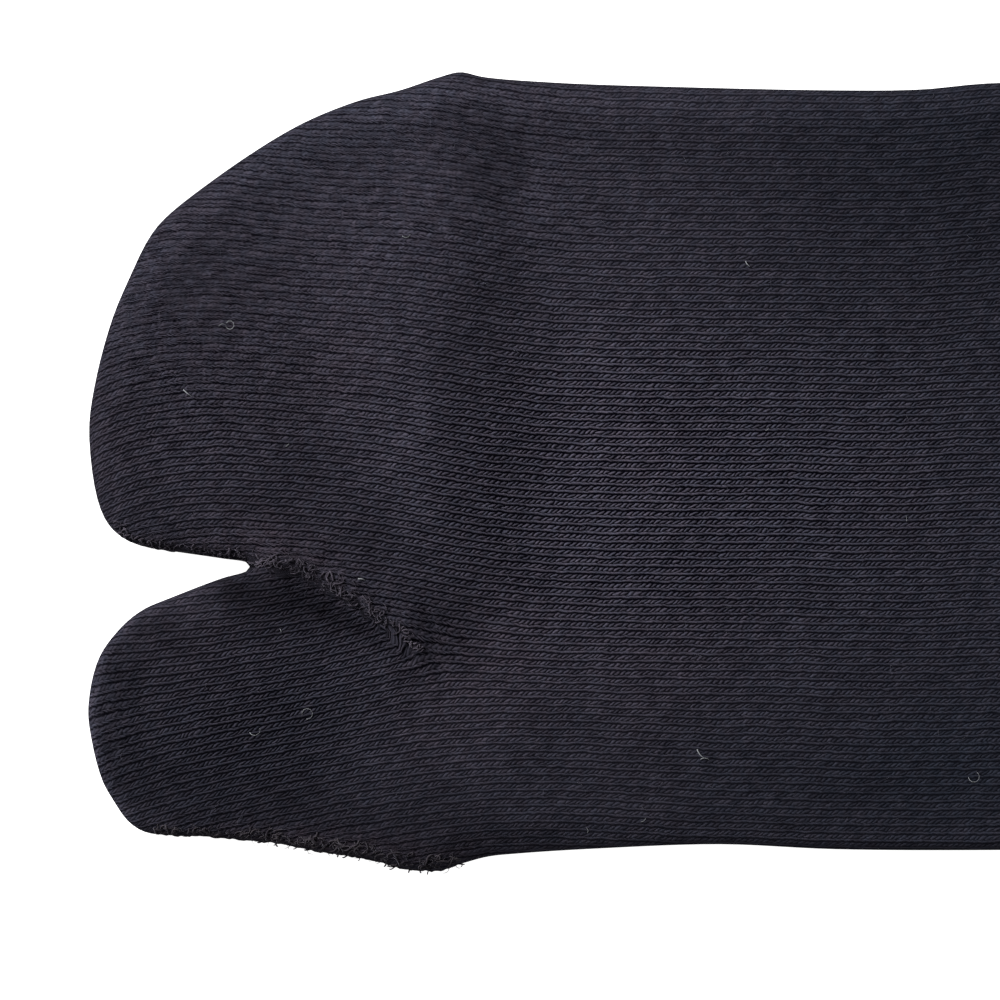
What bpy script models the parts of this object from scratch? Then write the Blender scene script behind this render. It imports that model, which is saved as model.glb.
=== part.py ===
"""Tabi sock for the right foot, knitted in one tube and laid flat with the instep upwards.

Metres, +Z up.  The toes point to -X and the cuff to +X.  The pocket for the four small
toes lies on the +Y side and the big-toe pocket on the -Y side.  The sock rests on Z = 0
and the origin is below the middle of its bounding box.

The sizes below are in millimetres: "along" is measured from the toe end towards the
cuff, and "across" from the long axis towards the little-toe side.
"""

from math import pi

import bmesh
import bpy
import numpy as np

MM = 0.001
COLLECTION = "tabi_sock"

# Cloth
WALL = 1.2  # thickness of the knitted cloth
LAYER_GAP = 0.5  # air left between instep and sole when the sock lies flat
PIECE_GAP = 0.3  # clearance between neighbouring pieces
FOLD = WALL + LAYER_GAP / 2  # radius of a folded edge, half the flat sock's height
EDGE_PUFF = 0.4  # how far the instep stands up beside a folded edge
PUFF_AT = 3.0  # distance from the edge to the crest of that swelling
PUFF_SPREAD = 4.5  # its half width

# Lengths
SOCK_LENGTH = 385.0  # toe end to the top of the cuff
CUFF_LENGTH = 52.0
BODY_LENGTH = SOCK_LENGTH - CUFF_LENGTH
CROTCH_ALONG = 19.3  # bottom of the split between the toe pockets
CROTCH_ACROSS = -11.6

LINING_REACH = 4.0  # the wall's inner side is drawn in from the edge up to here
LINING_FOLD = 0.6  # how gently the inner side turns at a folded edge
SHOULDER = 0.6 * FOLD  # from a toe pocket's edge beside the split to its last points on top
SHOULDER_SHARE = 0.2  # and no more than this share of the pocket's width
ON_EDGE = 0.05  # points closer to the outline than this count as lying on it
SAME_DISTANCE = 1e-6  # segments of the outline whose distances differ by less are equally near

# Outlines: each row is (along, across).  The curves run smoothly through the rows.
FOUR_TOE_INNER = (
    (CROTCH_ALONG, CROTCH_ACROSS),
    (14.5, -9.3),
    (9.0, -8.4),
    (5.6, -7.6),
    (3.4, -5.8),
    (1.5, -2.4),
)
LITTLE_TOE_SIDE = (
    (0.0, 4.9),
    (4.1, 21.7),
    (8.2, 29.2),
    (14.9, 34.9),
    (24.1, 41.0),
    (33.0, 44.9),
    (41.0, 46.8),
    (44.6, 47.9),
    (47.6, 47.4),
    (56.7, 46.8),
    (72.5, 46.1),
    (92.2, 45.8),
    (109.8, 46.6),
    (150.0, 46.2),
    (198.0, 47.0),
    (240.0, 44.0),
    (300.0, 42.6),
    (360.0, 42.2),
    (385.0, 42.0),
)
BIG_TOE_INNER = (
    (CROTCH_ALONG, CROTCH_ACROSS),
    (13.6, -13.9),
    (9.0, -15.8),
    (5.5, -17.8),
    (3.2, -19.9),
    (1.1, -23.2),
)
BIG_TOE_SIDE = (
    (0.0, -29.0),
    (0.9, -34.5),
    (4.3, -40.0),
    (8.9, -42.7),
    (14.0, -43.0),
    (21.4, -43.7),
    (29.8, -45.0),
    (36.5, -46.4),
    (41.5, -47.0),
    (45.6, -46.4),
    (52.1, -45.9),
    (66.4, -45.0),
    (84.1, -45.1),
    (109.8, -45.6),
    (150.0, -45.2),
    (198.0, -46.0),
    (240.0, -43.2),
    (300.0, -42.0),
    (360.0, -41.8),
    (385.0, -41.8),
)
ACROSS_MIDDLE = -0.35  # middle of the width, which becomes Y = 0

# Heel pocket, folded flat under the ankle with its round end towards the cuff
HEEL_START = 191.0
HEEL_SIDE_END = 212.0
HEEL_END = 234.0
HEEL_HALF_WIDTH = 44.0
HEEL_HEIGHT = 2.8
HEEL_CORNER = 6.0
HEEL_LEAST_CORNER = 0.5
HEEL_LEAST_HEIGHT = 0.6  # at the mouth, where the sock comes down in front of the pocket
HEEL_RIM = (  # (inset from the outline, share of the height), from the top to the bottom
    (5.0, 1.00),
    (1.3, 0.97),
    (0.3, 0.86),
    (0.0, 0.72),
    (0.3, 0.58),
    (1.2, 0.50),
    (0.3, 0.42),
    (0.0, 0.28),
    (0.3, 0.14),
    (1.3, 0.00),
    (5.0, 0.00),
)
CLIMB = (186.0, 200.0)  # where the sock climbs on to the heel pocket
DESCENT = (236.0, 252.0)  # where it comes down again
CLIMB_HEIGHT = HEEL_HEIGHT + PIECE_GAP

# Seams: round cords of linking yarn that stand on the cloth
SEAM_RADIUS = 0.5
SEAM_POINTS = 26
SPLIT_SEAM_ON_INSTEP = ((24.5, -11.9), (30.4, -15.1), (36.1, -18.8), (39.5, -21.4))
SPLIT_SEAM_START = 6.0
SPLIT_SEAM_BEND = 1.2  # how far before the crotch it leaves the edge
SPLIT_SEAM_TURN = (8.0, 17.0)  # stretch in which it climbs from the edge to the instep
BIG_TOE_SEAM = (7.5, 43.0)
SEAM_ANGLE = 15.0  # degrees above the edge's middle
TANGENT_STEP = 0.5  # to either side of a place on the outline when its direction is taken

# Mesh density
FOUR_TOE_STEPS = 10  # segments across the instep, on the little-toe side of the split
BIG_TOE_STEPS = 7
POCKET_RINGS = 9
CUFF_RINGS = 5
OUTLINE_STEPS = 10  # segments between two rows of an outline
SEAM_STEPS = 6
HEEL_CORNER_POINTS = 4
HEEL_END_POINTS = 9
RING_ZONES = (  # (end of the zone, greatest distance between rings)
    (60.0, 4.4),
    (184.0, 15.6),
    (202.0, 2.6),
    (234.0, 8.0),
    (254.0, 2.9),
    (BODY_LENGTH, 16.0),
)

# Finish: (red, green, blue), roughness
COTTON = ((0.022, 0.021, 0.029), 0.92)
RIB = ((0.020, 0.020, 0.027), 0.92)
SEAM_YARN = ((0.026, 0.024, 0.031), 0.95)


def smooth_curve(knots, per_span):
    """Points on a centripetal Catmull-Rom curve through the knots."""
    p = np.array(knots, float)
    p = np.vstack([2 * p[0] - p[1], p, 2 * p[-1] - p[-2]])
    t = np.concatenate([[0], np.cumsum(np.linalg.norm(np.diff(p, axis=0), axis=1) ** 0.5)])
    out = []
    for i in range(1, len(p) - 2):
        u = np.linspace(t[i], t[i + 1], per_span, endpoint=False)[:, None]
        a1 = (t[i] - u) / (t[i] - t[i - 1]) * p[i - 1] + (u - t[i - 1]) / (t[i] - t[i - 1]) * p[i]
        a2 = (t[i + 1] - u) / (t[i + 1] - t[i]) * p[i] + (u - t[i]) / (t[i + 1] - t[i]) * p[i + 1]
        a3 = (t[i + 2] - u) / (t[i + 2] - t[i + 1]) * p[i + 1]
        a3 = a3 + (u - t[i + 1]) / (t[i + 2] - t[i + 1]) * p[i + 2]
        b1 = (t[i + 1] - u) / (t[i + 1] - t[i - 1]) * a1 + (u - t[i - 1]) / (t[i + 1] - t[i - 1]) * a2
        b2 = (t[i + 2] - u) / (t[i + 2] - t[i]) * a2 + (u - t[i]) / (t[i + 2] - t[i]) * a3
        out.append((t[i + 1] - u) / (t[i + 1] - t[i]) * b1 + (u - t[i]) / (t[i + 1] - t[i]) * b2)
    return np.vstack(out + [p[-2:-1]])


def pocket_edges(inner, outer):
    """The inner and outer edge of a toe pocket, each running from its tip."""
    outline = smooth_curve(inner + outer, OUTLINE_STEPS)
    tip = int(outline[:, 0].argmin())
    return outline[: tip + 1][::-1], outline[tip:]


FOUR_IN, FOUR_OUT = pocket_edges(FOUR_TOE_INNER, LITTLE_TOE_SIDE)
BIG_IN, BIG_OUT = pocket_edges(BIG_TOE_INNER, BIG_TOE_SIDE)
# Each edge with the side that its cloth lies on: 1 is left of the way to the cuff
EDGES = ((FOUR_IN, 1), (FOUR_OUT, -1), (BIG_IN, -1), (BIG_OUT, 1))


def across_at(edge, along):
    return np.interp(along, edge[:, 0], edge[:, 1])


def from_edge(points):
    """Distance of plan points from the sock's outline, and the way into the cloth."""
    starts = np.vstack([edge[:-1] for edge, side in EDGES])
    runs = np.vstack([np.diff(edge, axis=0) for edge, side in EDGES])
    sides = np.concatenate([np.full(len(edge) - 1, side) for edge, side in EDGES])
    inward = np.stack([-runs[:, 1], runs[:, 0]], 1) * sides[:, None]
    inward /= np.linalg.norm(inward, axis=1)[:, None]
    share = ((points[:, None] - starts) * runs).sum(2) / (runs * runs).sum(1)
    away = points[:, None] - starts - share.clip(0, 1)[:, :, None] * runs
    distance = np.linalg.norm(away, axis=2)
    nearest = distance.argmin(1)
    best = distance.min(1)
    on_edge = ((distance < best[:, None] + SAME_DISTANCE)[:, :, None] * inward).sum(1)
    way = np.where(best[:, None] > ON_EDGE, away[np.arange(len(points)), nearest], on_edge)
    return best, way / np.linalg.norm(way, axis=1)[:, None]


def smooth_step(start, end, value):
    x = np.clip((value - start) / (end - start), 0, 1)
    return x * x * (3 - 2 * x)


def climb(along):
    """Height of the sock's underside, which passes over the heel pocket."""
    return CLIMB_HEIGHT * (smooth_step(*CLIMB, along) - smooth_step(*DESCENT, along))


def fold(share):
    """Quarter circle, from 0 at the edge to 1 where the cloth lies flat."""
    return np.sqrt(1 - (1 - np.clip(share, 0, 1)) ** 2)


def puff(distance):
    """Swelling of the instep beside a folded edge."""
    return EDGE_PUFF * np.exp(-(((distance - PUFF_AT) / PUFF_SPREAD) ** 2))


def outer_side(points):
    """Places of points (along, across, side) on the outer side of the cloth.

    The side is 1 on the instep, -1 on the sole and 0 on the folded edge between them.
    """
    plan, side = points[:, :2], points[:, 2]
    distance = from_edge(plan)[0]
    half = FOLD + np.where(side > 0, puff(distance), 0)
    return np.column_stack([plan, climb(plan[:, 0]) + FOLD + side * half * fold(distance / FOLD)])


def inner_side(points):
    """The same points a wall's thickness further in."""
    plan, side = points[:, :2], points[:, 2]
    distance, way = from_edge(plan)
    moved = WALL + distance * (1 - WALL / LINING_REACH)
    moved = np.where(distance < LINING_REACH, moved, distance)
    plan = plan + way * (moved - distance)[:, None]
    half = LAYER_GAP / 2 + np.where(side > 0, puff(moved), 0)
    turn = fold((moved - WALL) / LINING_FOLD)
    return np.column_stack([plan, climb(plan[:, 0]) + FOLD + side * half * turn])


def edge_weighted(steps):
    """Shares from 0 at an edge to 1, closest together at the edge."""
    return 1 - np.cos(np.arange(steps + 1) / steps * pi / 2)


def over_and_under(along, across, side):
    """Points (along, across, side) over the instep, and those of the sole on the way back."""
    over = np.column_stack([np.full(len(across), along), across, side])
    under = (over * (1, 1, -1))[side > 0][::-1]
    return over, under


def tube_ring(along):
    """Ring of the undivided tube: little-toe edge, instep, big-toe edge and sole."""
    little_side, big_side = across_at(FOUR_OUT, along), across_at(BIG_OUT, along)
    first = little_side + edge_weighted(FOUR_TOE_STEPS) * (CROTCH_ACROSS - little_side)
    last = big_side + edge_weighted(BIG_TOE_STEPS) * (CROTCH_ACROSS - big_side)
    across = np.concatenate([first, last[::-1][1:]])
    side = np.ones(len(across))
    side[[0, -1]] = 0
    return np.vstack(over_and_under(along, across, side))


def pocket_ring(along, outer, inner, steps, outer_first):
    """Ring of a toe pocket.  Three points go round its fold beside the split."""
    outer_across, inner_across = across_at(outer, along), across_at(inner, along)
    width = outer_across - inner_across
    shoulder = inner_across + min(SHOULDER, abs(width) * SHOULDER_SHARE) * np.sign(width)
    across = outer_across + edge_weighted(steps) * (shoulder - outer_across)
    side = np.ones(len(across))
    side[0] = 0
    over, under = over_and_under(along, across, side)
    web = np.array([[along, inner_across, 0]])
    if outer_first:
        return np.vstack([over, web, under])
    return np.vstack([over[::-1], under[::-1], web])


def ring_places():
    """Distances from the toe end of the rings from the split to the end of the body."""
    places, start = [], CROTCH_ALONG + FOLD
    for end, widest in RING_ZONES:
        count = int(np.ceil((end - start) / widest))
        places.extend(start + (end - start) * np.arange(count) / count)
        start = end
    return places + [BODY_LENGTH]


def bridge(faces, near, far):
    """Quads between two rings of equal length, or triangles from a single tip point."""
    count = len(far)
    for i in range(count):
        j = (i + 1) % count
        if len(near) == 1:
            faces.append((near[0], far[j], far[i]))
        else:
            faces.append((near[i], near[j], far[j], far[i]))


def to_world(points):
    """Plan sizes in millimetres to places in metres about the origin."""
    moved = np.asarray(points, float) - (SOCK_LENGTH / 2, ACROSS_MIDDLE, 0)
    return moved * MM


def new_object(name, mesh, finish):
    colour, roughness = finish
    material = bpy.data.materials.new(name)
    material.use_nodes = True
    shader = material.node_tree.nodes["Principled BSDF"]
    shader.inputs["Base Color"].default_value = (*colour, 1)
    shader.inputs["Roughness"].default_value = roughness
    shader.inputs["Metallic"].default_value = 0.0
    mesh.materials.append(material)
    obj = bpy.data.objects.new(name, mesh)
    bpy.data.collections[COLLECTION].objects.link(obj)
    return obj


def mesh_of(name, points, faces):
    mesh = bpy.data.meshes.new(name)
    mesh.from_pydata(to_world(points).tolist(), [], faces)
    mesh.validate()
    mesh.shade_smooth()
    return mesh


def make_body():
    """Foot and leg in one tube, which parts into the two toe pockets at the split.

    The inner side of the wall is worked out point by point like the outer one, because
    the two layers of cloth lie closer together than the wall is thick.
    """
    points, faces = [], []

    def add(ring):
        start = len(points)
        points.extend(np.atleast_2d(ring).tolist())
        return list(range(start, len(points)))

    rings = [add(tube_ring(x)) for x in ring_places()]
    for near, far in zip(rings[:-1], rings[1:]):
        bridge(faces, near, far)

    split, mouth = rings[0], rings[-1]
    web = add((CROTCH_ALONG, CROTCH_ACROSS, 0))
    below = len(split) - FOUR_TOE_STEPS
    four_end = split[: FOUR_TOE_STEPS + 1] + web + split[below:]
    big_end = split[FOUR_TOE_STEPS : below + 1] + web
    for inner, outer, steps, end, outer_first in (
        (FOUR_IN, FOUR_OUT, FOUR_TOE_STEPS, four_end, True),
        (BIG_IN, BIG_OUT, BIG_TOE_STEPS, big_end, False),
    ):
        tip = outer[0]
        near = add((tip[0], tip[1], 0))
        for share in edge_weighted(POCKET_RINGS)[1:-1]:
            x = tip[0] + share * (CROTCH_ALONG - tip[0])
            far = add(pocket_ring(x, outer, inner, steps, outer_first))
            bridge(faces, near, far)
            near = far
        bridge(faces, near, end)

    layout = np.array(points)
    count = len(layout)
    lining = [tuple(count + i for i in face[::-1]) for face in faces]
    bridge(faces, mouth, [count + i for i in mouth])
    places = np.vstack([outer_side(layout), inner_side(layout)])
    return new_object("sock_body", mesh_of("sock_body", places, faces + lining), COTTON)


def make_cuff():
    """Ribbed band round the top of the leg, open at both ends."""
    places, faces, rings = [], [], []
    for x in np.linspace(BODY_LENGTH + PIECE_GAP, SOCK_LENGTH, CUFF_RINGS):
        ring = outer_side(tube_ring(x))
        rings.append(list(range(len(places), len(places) + len(ring))))
        places.extend(ring.tolist())
    for near, far in zip(rings[:-1], rings[1:]):
        bridge(faces, near, far)
    obj = new_object("cuff", mesh_of("cuff", places, faces), RIB)
    wall = obj.modifiers.new("wall", "SOLIDIFY")
    wall.thickness = WALL * MM
    wall.offset = -1
    wall.use_even_offset = True
    return obj


def heel_outline(inset):
    """Plan of the heel pocket: a straight mouth with round corners and an oval end."""
    half = HEEL_HALF_WIDTH - inset
    corner = max(HEEL_CORNER - inset, HEEL_LEAST_CORNER)
    start = HEEL_START + inset
    turn = np.linspace(0, pi / 2, HEEL_CORNER_POINTS)
    mouth = np.stack([start + corner * (1 - np.cos(turn)), half - corner * (1 - np.sin(turn))], 1)
    turn = np.linspace(0, pi / 2, HEEL_END_POINTS)
    reach = HEEL_END - inset - HEEL_SIDE_END
    end = np.stack([HEEL_SIDE_END + reach * np.sin(turn), half * np.cos(turn)], 1)
    side = np.vstack([mouth, end])
    return np.vstack([side, side[:-1][::-1] * (1, -1)])


def make_heel_pocket():
    """The pocket's two layers as one flat solid, with a groove between them at the rim."""
    loops, points, faces = [], [], []
    for inset, share in HEEL_RIM:
        plan = heel_outline(inset)
        room = np.minimum(HEEL_HEIGHT, climb(plan[:, 0]) - PIECE_GAP).clip(HEEL_LEAST_HEIGHT)
        loops.append(list(range(len(points), len(points) + len(plan))))
        points.extend(np.column_stack([plan, share * room]).tolist())
    for upper, lower in zip(loops[:-1], loops[1:]):
        bridge(faces, upper, lower)
    faces.append(loops[0])
    faces.append(loops[-1][::-1])
    mesh = mesh_of("heel_pocket", points, faces)
    fixed = bmesh.new()
    fixed.from_mesh(mesh)
    bmesh.ops.recalc_face_normals(fixed, faces=fixed.faces)
    bmesh.ops.triangulate(fixed, faces=[f for f in fixed.faces if len(f.verts) > 4])
    fixed.to_mesh(mesh)
    fixed.free()
    return new_object("heel_pocket", mesh, COTTON)


def beside_edge(edge, along, angle):
    """Path of a seam round a folded edge, on the side that faces the big toe.

    The angle is counted from straight out of the edge (0) to straight above its fold.
    """
    before = np.stack([along - TANGENT_STEP, across_at(edge, along - TANGENT_STEP)], 1)
    after = np.stack([along + TANGENT_STEP, across_at(edge, along + TANGENT_STEP)], 1)
    tangent = (after - before) / np.linalg.norm(after - before, axis=1)[:, None]
    outward = np.stack([tangent[:, 1], -tangent[:, 0]], 1)
    reach = FOLD + PIECE_GAP + SEAM_RADIUS
    sideways = reach * np.cos(angle) - FOLD
    plan = np.stack([along, across_at(edge, along)], 1) + outward * sideways[:, None]
    return np.column_stack([plan, FOLD + reach * np.sin(angle)])


def cord(name, path, finish):
    """A round cord through the points of the path, with closed ends."""
    curve = bpy.data.curves.new(name, "CURVE")
    curve.dimensions = "3D"
    curve.bevel_depth = SEAM_RADIUS * MM
    curve.bevel_resolution = 1
    curve.use_fill_caps = True
    spline = curve.splines.new("POLY")
    spline.points.add(len(path) - 1)
    flat = np.column_stack([to_world(path), np.ones(len(path))])
    spline.points.foreach_set("co", flat.ravel())
    return new_object(name, curve, finish)


def make_split_seam():
    """Seam along the inner edge of the four-toe pocket, which climbs on to the instep."""
    along = np.linspace(SPLIT_SEAM_START, CROTCH_ALONG - SPLIT_SEAM_BEND, SEAM_POINTS)
    turn = smooth_step(*SPLIT_SEAM_TURN, along)
    angle = np.radians(SEAM_ANGLE + turn * (90 - SEAM_ANGLE))
    on_edge = beside_edge(FOUR_IN, along, angle)
    on_instep = smooth_curve((tuple(on_edge[-1, :2]),) + SPLIT_SEAM_ON_INSTEP, SEAM_STEPS)[1:]
    on_instep = outer_side(np.column_stack([on_instep, np.ones(len(on_instep))]))
    on_instep[:, 2] = np.maximum(on_instep[:, 2], 2 * FOLD) + PIECE_GAP + SEAM_RADIUS
    path = np.vstack([on_edge, on_instep])
    return cord("split_seam", path, SEAM_YARN)


def make_big_toe_seam():
    """Seam along the outer edge of the big-toe pocket."""
    along = np.linspace(*BIG_TOE_SEAM, SEAM_POINTS)
    angle = np.full(SEAM_POINTS, np.radians(SEAM_ANGLE))
    return cord("big_toe_seam", beside_edge(BIG_OUT, along, angle), SEAM_YARN)


def main():
    for obj in list(bpy.data.objects):
        bpy.data.objects.remove(obj)
    collection = bpy.data.collections.new(COLLECTION)
    bpy.context.scene.collection.children.link(collection)
    make_body()
    make_cuff()
    make_heel_pocket()
    make_split_seam()
    make_big_toe_seam()


main()
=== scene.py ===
"""Looks of a knitted tabi sock: fine cloth, ribbed cuff, folded heel, linking seams and lint.

The sock lies flat with its instep up, the toes towards -X and the little toe on the +Y
side.  Shapes are worked out in millimetres as (along, across, height): "along" counts
from the toe end towards the cuff, "across" from the long axis towards the little toe.
"""

from math import pi, radians

import bpy
import numpy as np
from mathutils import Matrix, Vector


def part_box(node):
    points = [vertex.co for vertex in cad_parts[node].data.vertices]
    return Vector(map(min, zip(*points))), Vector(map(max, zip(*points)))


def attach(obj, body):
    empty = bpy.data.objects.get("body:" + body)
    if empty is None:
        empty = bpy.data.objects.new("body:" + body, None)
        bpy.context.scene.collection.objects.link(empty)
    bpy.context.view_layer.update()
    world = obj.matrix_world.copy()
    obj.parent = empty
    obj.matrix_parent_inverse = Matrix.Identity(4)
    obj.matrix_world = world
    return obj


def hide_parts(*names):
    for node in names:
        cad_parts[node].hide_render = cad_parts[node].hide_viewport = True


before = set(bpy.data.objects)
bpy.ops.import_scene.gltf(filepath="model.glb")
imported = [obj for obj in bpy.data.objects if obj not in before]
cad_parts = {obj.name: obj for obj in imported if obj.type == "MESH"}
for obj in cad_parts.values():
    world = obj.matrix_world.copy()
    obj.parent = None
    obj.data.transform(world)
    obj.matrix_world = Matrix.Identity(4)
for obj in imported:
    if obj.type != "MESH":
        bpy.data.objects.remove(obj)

bl_info = {
    "name": "Tabi sock",
    "version": (1, 0, 0),
    "blender": (4, 5, 0),
    "location": "View3D > Sidebar > Tabi sock",
    "description": "Builds a knitted tabi sock that lies flat, around its packed model",
    "category": "Object",
}

MM = 0.001

# ---------------------------------------------------------------- places from the frame
BODY_LOW, BODY_HIGH = (np.array(corner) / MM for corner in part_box("sock_body"))
CUFF_HIGH = np.array(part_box("cuff")[1]) / MM
HEEL_LOW, HEEL_HIGH = (np.array(corner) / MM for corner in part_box("heel_pocket"))
TOE_END = BODY_LOW[0]  # where "along" is 0
ACROSS_MIDDLE = -0.35  # "across" at Y = 0
BODY_END = BODY_HIGH[0] - TOE_END
CUFF_LAP = 0.02  # the cuff's knitting starts this far from the body's last row
CUFF_END = CUFF_HIGH[0] - TOE_END

# ---------------------------------------------------------------- the cloth
WALL = 1.2
LAYER_GAP = 0.5  # air between instep and sole
FOLD = WALL + LAYER_GAP / 2  # radius of a folded edge
EDGE_PUFF = 0.4  # how far the instep stands up beside a folded edge
PUFF_AT = 3.0  # distance from the edge to the crest of that swelling
PUFF_SPREAD = 4.5
LINING_REACH = 4.0  # the wall's inner side is drawn in from the edge up to here
LINING_FOLD = 0.6
ON_EDGE = 0.05  # points closer to the outline than this count as lying on it
SAME_DISTANCE = 1e-6  # stretches of the outline whose distances differ by less are equally near
ON_TOP = 1.0  # the side of a point on the instep; -1 is the sole and 0 a folded edge
CROTCH = (19.3, -11.5)  # bottom of the split between the toe pockets

# Outlines, each row (along, across)
FOUR_TOE_INNER = (
    CROTCH, (19.05, -11.05), (15.9, -10.5), (11.1, -9.8), (7.2, -9.2), (4.3, -8.2), (2.3, -6.5),
    (0.9, -3.4),
)
LITTLE_TOE_SIDE = (
    (-0.1, 4.9), (0.7, 11.0), (2.7, 18.4), (4.7, 23.2), (7.1, 28.1), (9.0, 30.5), (15.2, 35.4),
    (22.4, 40.2), (26.9, 42.6), (32.6, 44.8), (37.4, 46.0), (42.2, 47.6), (44.7, 48.2),
    (47.6, 47.6), (56.7, 46.9), (71.2, 46.4), (90.5, 46.0), (100.2, 46.1), (109.5, 46.9),
    (150.0, 46.2), (198.0, 47.0), (240.0, 44.0), (300.0, 42.6), (360.0, 42.2), (385.0, 42.0),
)
BIG_TOE_INNER = (
    CROTCH, (19.05, -11.95), (15.9, -12.9), (10.1, -15.1), (6.2, -16.8), (3.4, -19.2), (1.0, -22.7),
)
BIG_TOE_SIDE = (
    (-0.2, -28.4), (0.2, -32.4), (1.5, -37.3), (2.9, -39.8), (4.6, -42.2), (6.6, -43.5),
    (9.5, -43.9), (13.3, -44.0), (18.1, -44.4), (22.9, -44.9), (27.8, -45.9), (33.5, -46.7),
    (37.4, -47.8), (42.2, -48.1), (45.0, -47.3), (48.0, -46.5), (51.9, -46.1), (61.6, -45.5),
    (76.0, -45.0), (90.0, -45.6), (109.8, -45.7), (150.0, -45.2), (198.0, -46.0), (240.0, -43.2),
    (300.0, -42.0), (360.0, -41.8), (385.0, -41.8),
)

# The heel pocket and the sock's way over it
HEEL_START = HEEL_LOW[0] - TOE_END
HEEL_END = HEEL_HIGH[0] - TOE_END
HEEL_SIDE_END = HEEL_START + 21.0
HEEL_HALF_WIDTH = (HEEL_HIGH[1] - HEEL_LOW[1]) / 2
HEEL_HEIGHT = HEEL_HIGH[2]
HEEL_CORNER = 6.0
HEEL_LEAST = 0.6  # height of its thinnest rim
HEEL_FIRST_WALE = 200
PIECE_GAP = 0.3
CLIMB = (186.0, 200.0)
DESCENT = (236.0, 252.0)
CLIMB_HEIGHT = HEEL_HEIGHT + PIECE_GAP
# Each pair: inset from the outline, share of the height
HEEL_RIM = (
    # painted shade: the near-black colour painted where the knit is low, between the yarns
    (8.0, 1.00), (4.0, 1.00), (2.0, 0.99), (1.1, 0.96), (0.5, 0.90), (0.1, 0.80), (0.0, 0.72),
    (0.1, 0.64), (0.5, 0.55), (1.2, 0.50), (0.5, 0.45), (0.1, 0.36), (0.0, 0.28), (0.1, 0.20),
    (0.5, 0.10), (1.1, 0.03), (2.0, 0.00), (4.0, 0.00), (8.0, 0.00),
)

# The split seam's way over the instep, from the crotch to where it dies away
SEAM_ON_INSTEP = (
    (19.0, -11.3), (24.5, -11.9), (30.4, -15.1), (36.1, -18.8), (39.5, -21.4), (43.5, -22.6),
)
SEAM_END = 39.5
SEAM_BEYOND = 0.8  # the last yarns lie this far past it
SEAM_STEP_START = (12.0, 20.0)  # the cloth's step at the seam rises over this stretch
SEAM_STEP_FADE = (36.0, 46.0)  # and dies away over this one
SEAM_RIDGE = (0.9, 0.85, 0.9, 2.6)  # its place beside the seam, height, reach back and reach on
SEAM_HOLLOW = (-1.9, -0.33, 1.7)  # its place, height and reach

# Soft swells and hollows that the cloth lies in.
# Each row: along, across, reach along, reach across, turn in degrees, height
SWELLS = (
    (48, 0, 62, 46, 0, 0.9),
    (42.5, 26, 8, 22, 4, 1.4),
    (45, 2, 7.5, 11, -6, 0.9),
    (55, 8, 6, 32, 3, -0.55),
    (52, 36, 4, 4, 0, -0.45),
    (27, 8, 3.5, 9, 0, -0.25),
    (66, 2, 9, 36, 4, 0.35),
    (47, -36, 10, 12, 0, 1.1),
    (54, -24, 6, 8, 0, 0.4),
    (22, -34, 9, 9, 10, -0.5),
    (36, -25, 3.5, 5, 0, 0.25),
    (12, -24, 7, 9, 8, 0.3),
    (16, 14, 9, 20, 0, 0.45),
    (92, -14, 26, 18, 10, 0.30),
    (84, 26, 22, 12, -6, 0.22),
    (128, 10, 20, 22, 20, 0.35),
    (150, -22, 16, 12, -12, 0.40),
    (171, 18, 6, 18, 14, -0.33),
    (180, -12, 5, 20, -10, 0.45),
    (259, 6, 3.5, 24, -14, 0.60),
    (268, -16, 4, 16, 9, -0.33),
    (276, 12, 5, 14, -22, 0.42),
    (300, -8, 20, 9, 5, 0.35),
    (318, 22, 18, 7, -4, 0.28),
)
LEAST_RELIEF = -0.2  # the instep sinks no deeper than this, so that it stays clear of the sole
RELIEF_ROUNDING = 0.01
RELIEF_FADE = (0.2, 4.0)  # distances from a folded edge over which the relief comes in
# Small unevenness of limp cloth.  Each row: length of the wave, its way in radians, height
RIPPLES = (
    (13, 0.3, 0.035),
    (17, 1.4, 0.04),
    (9, 2.3, 0.025),
    (23, 2.9, 0.05),
    (6.5, 0.9, 0.015),
)
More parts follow.
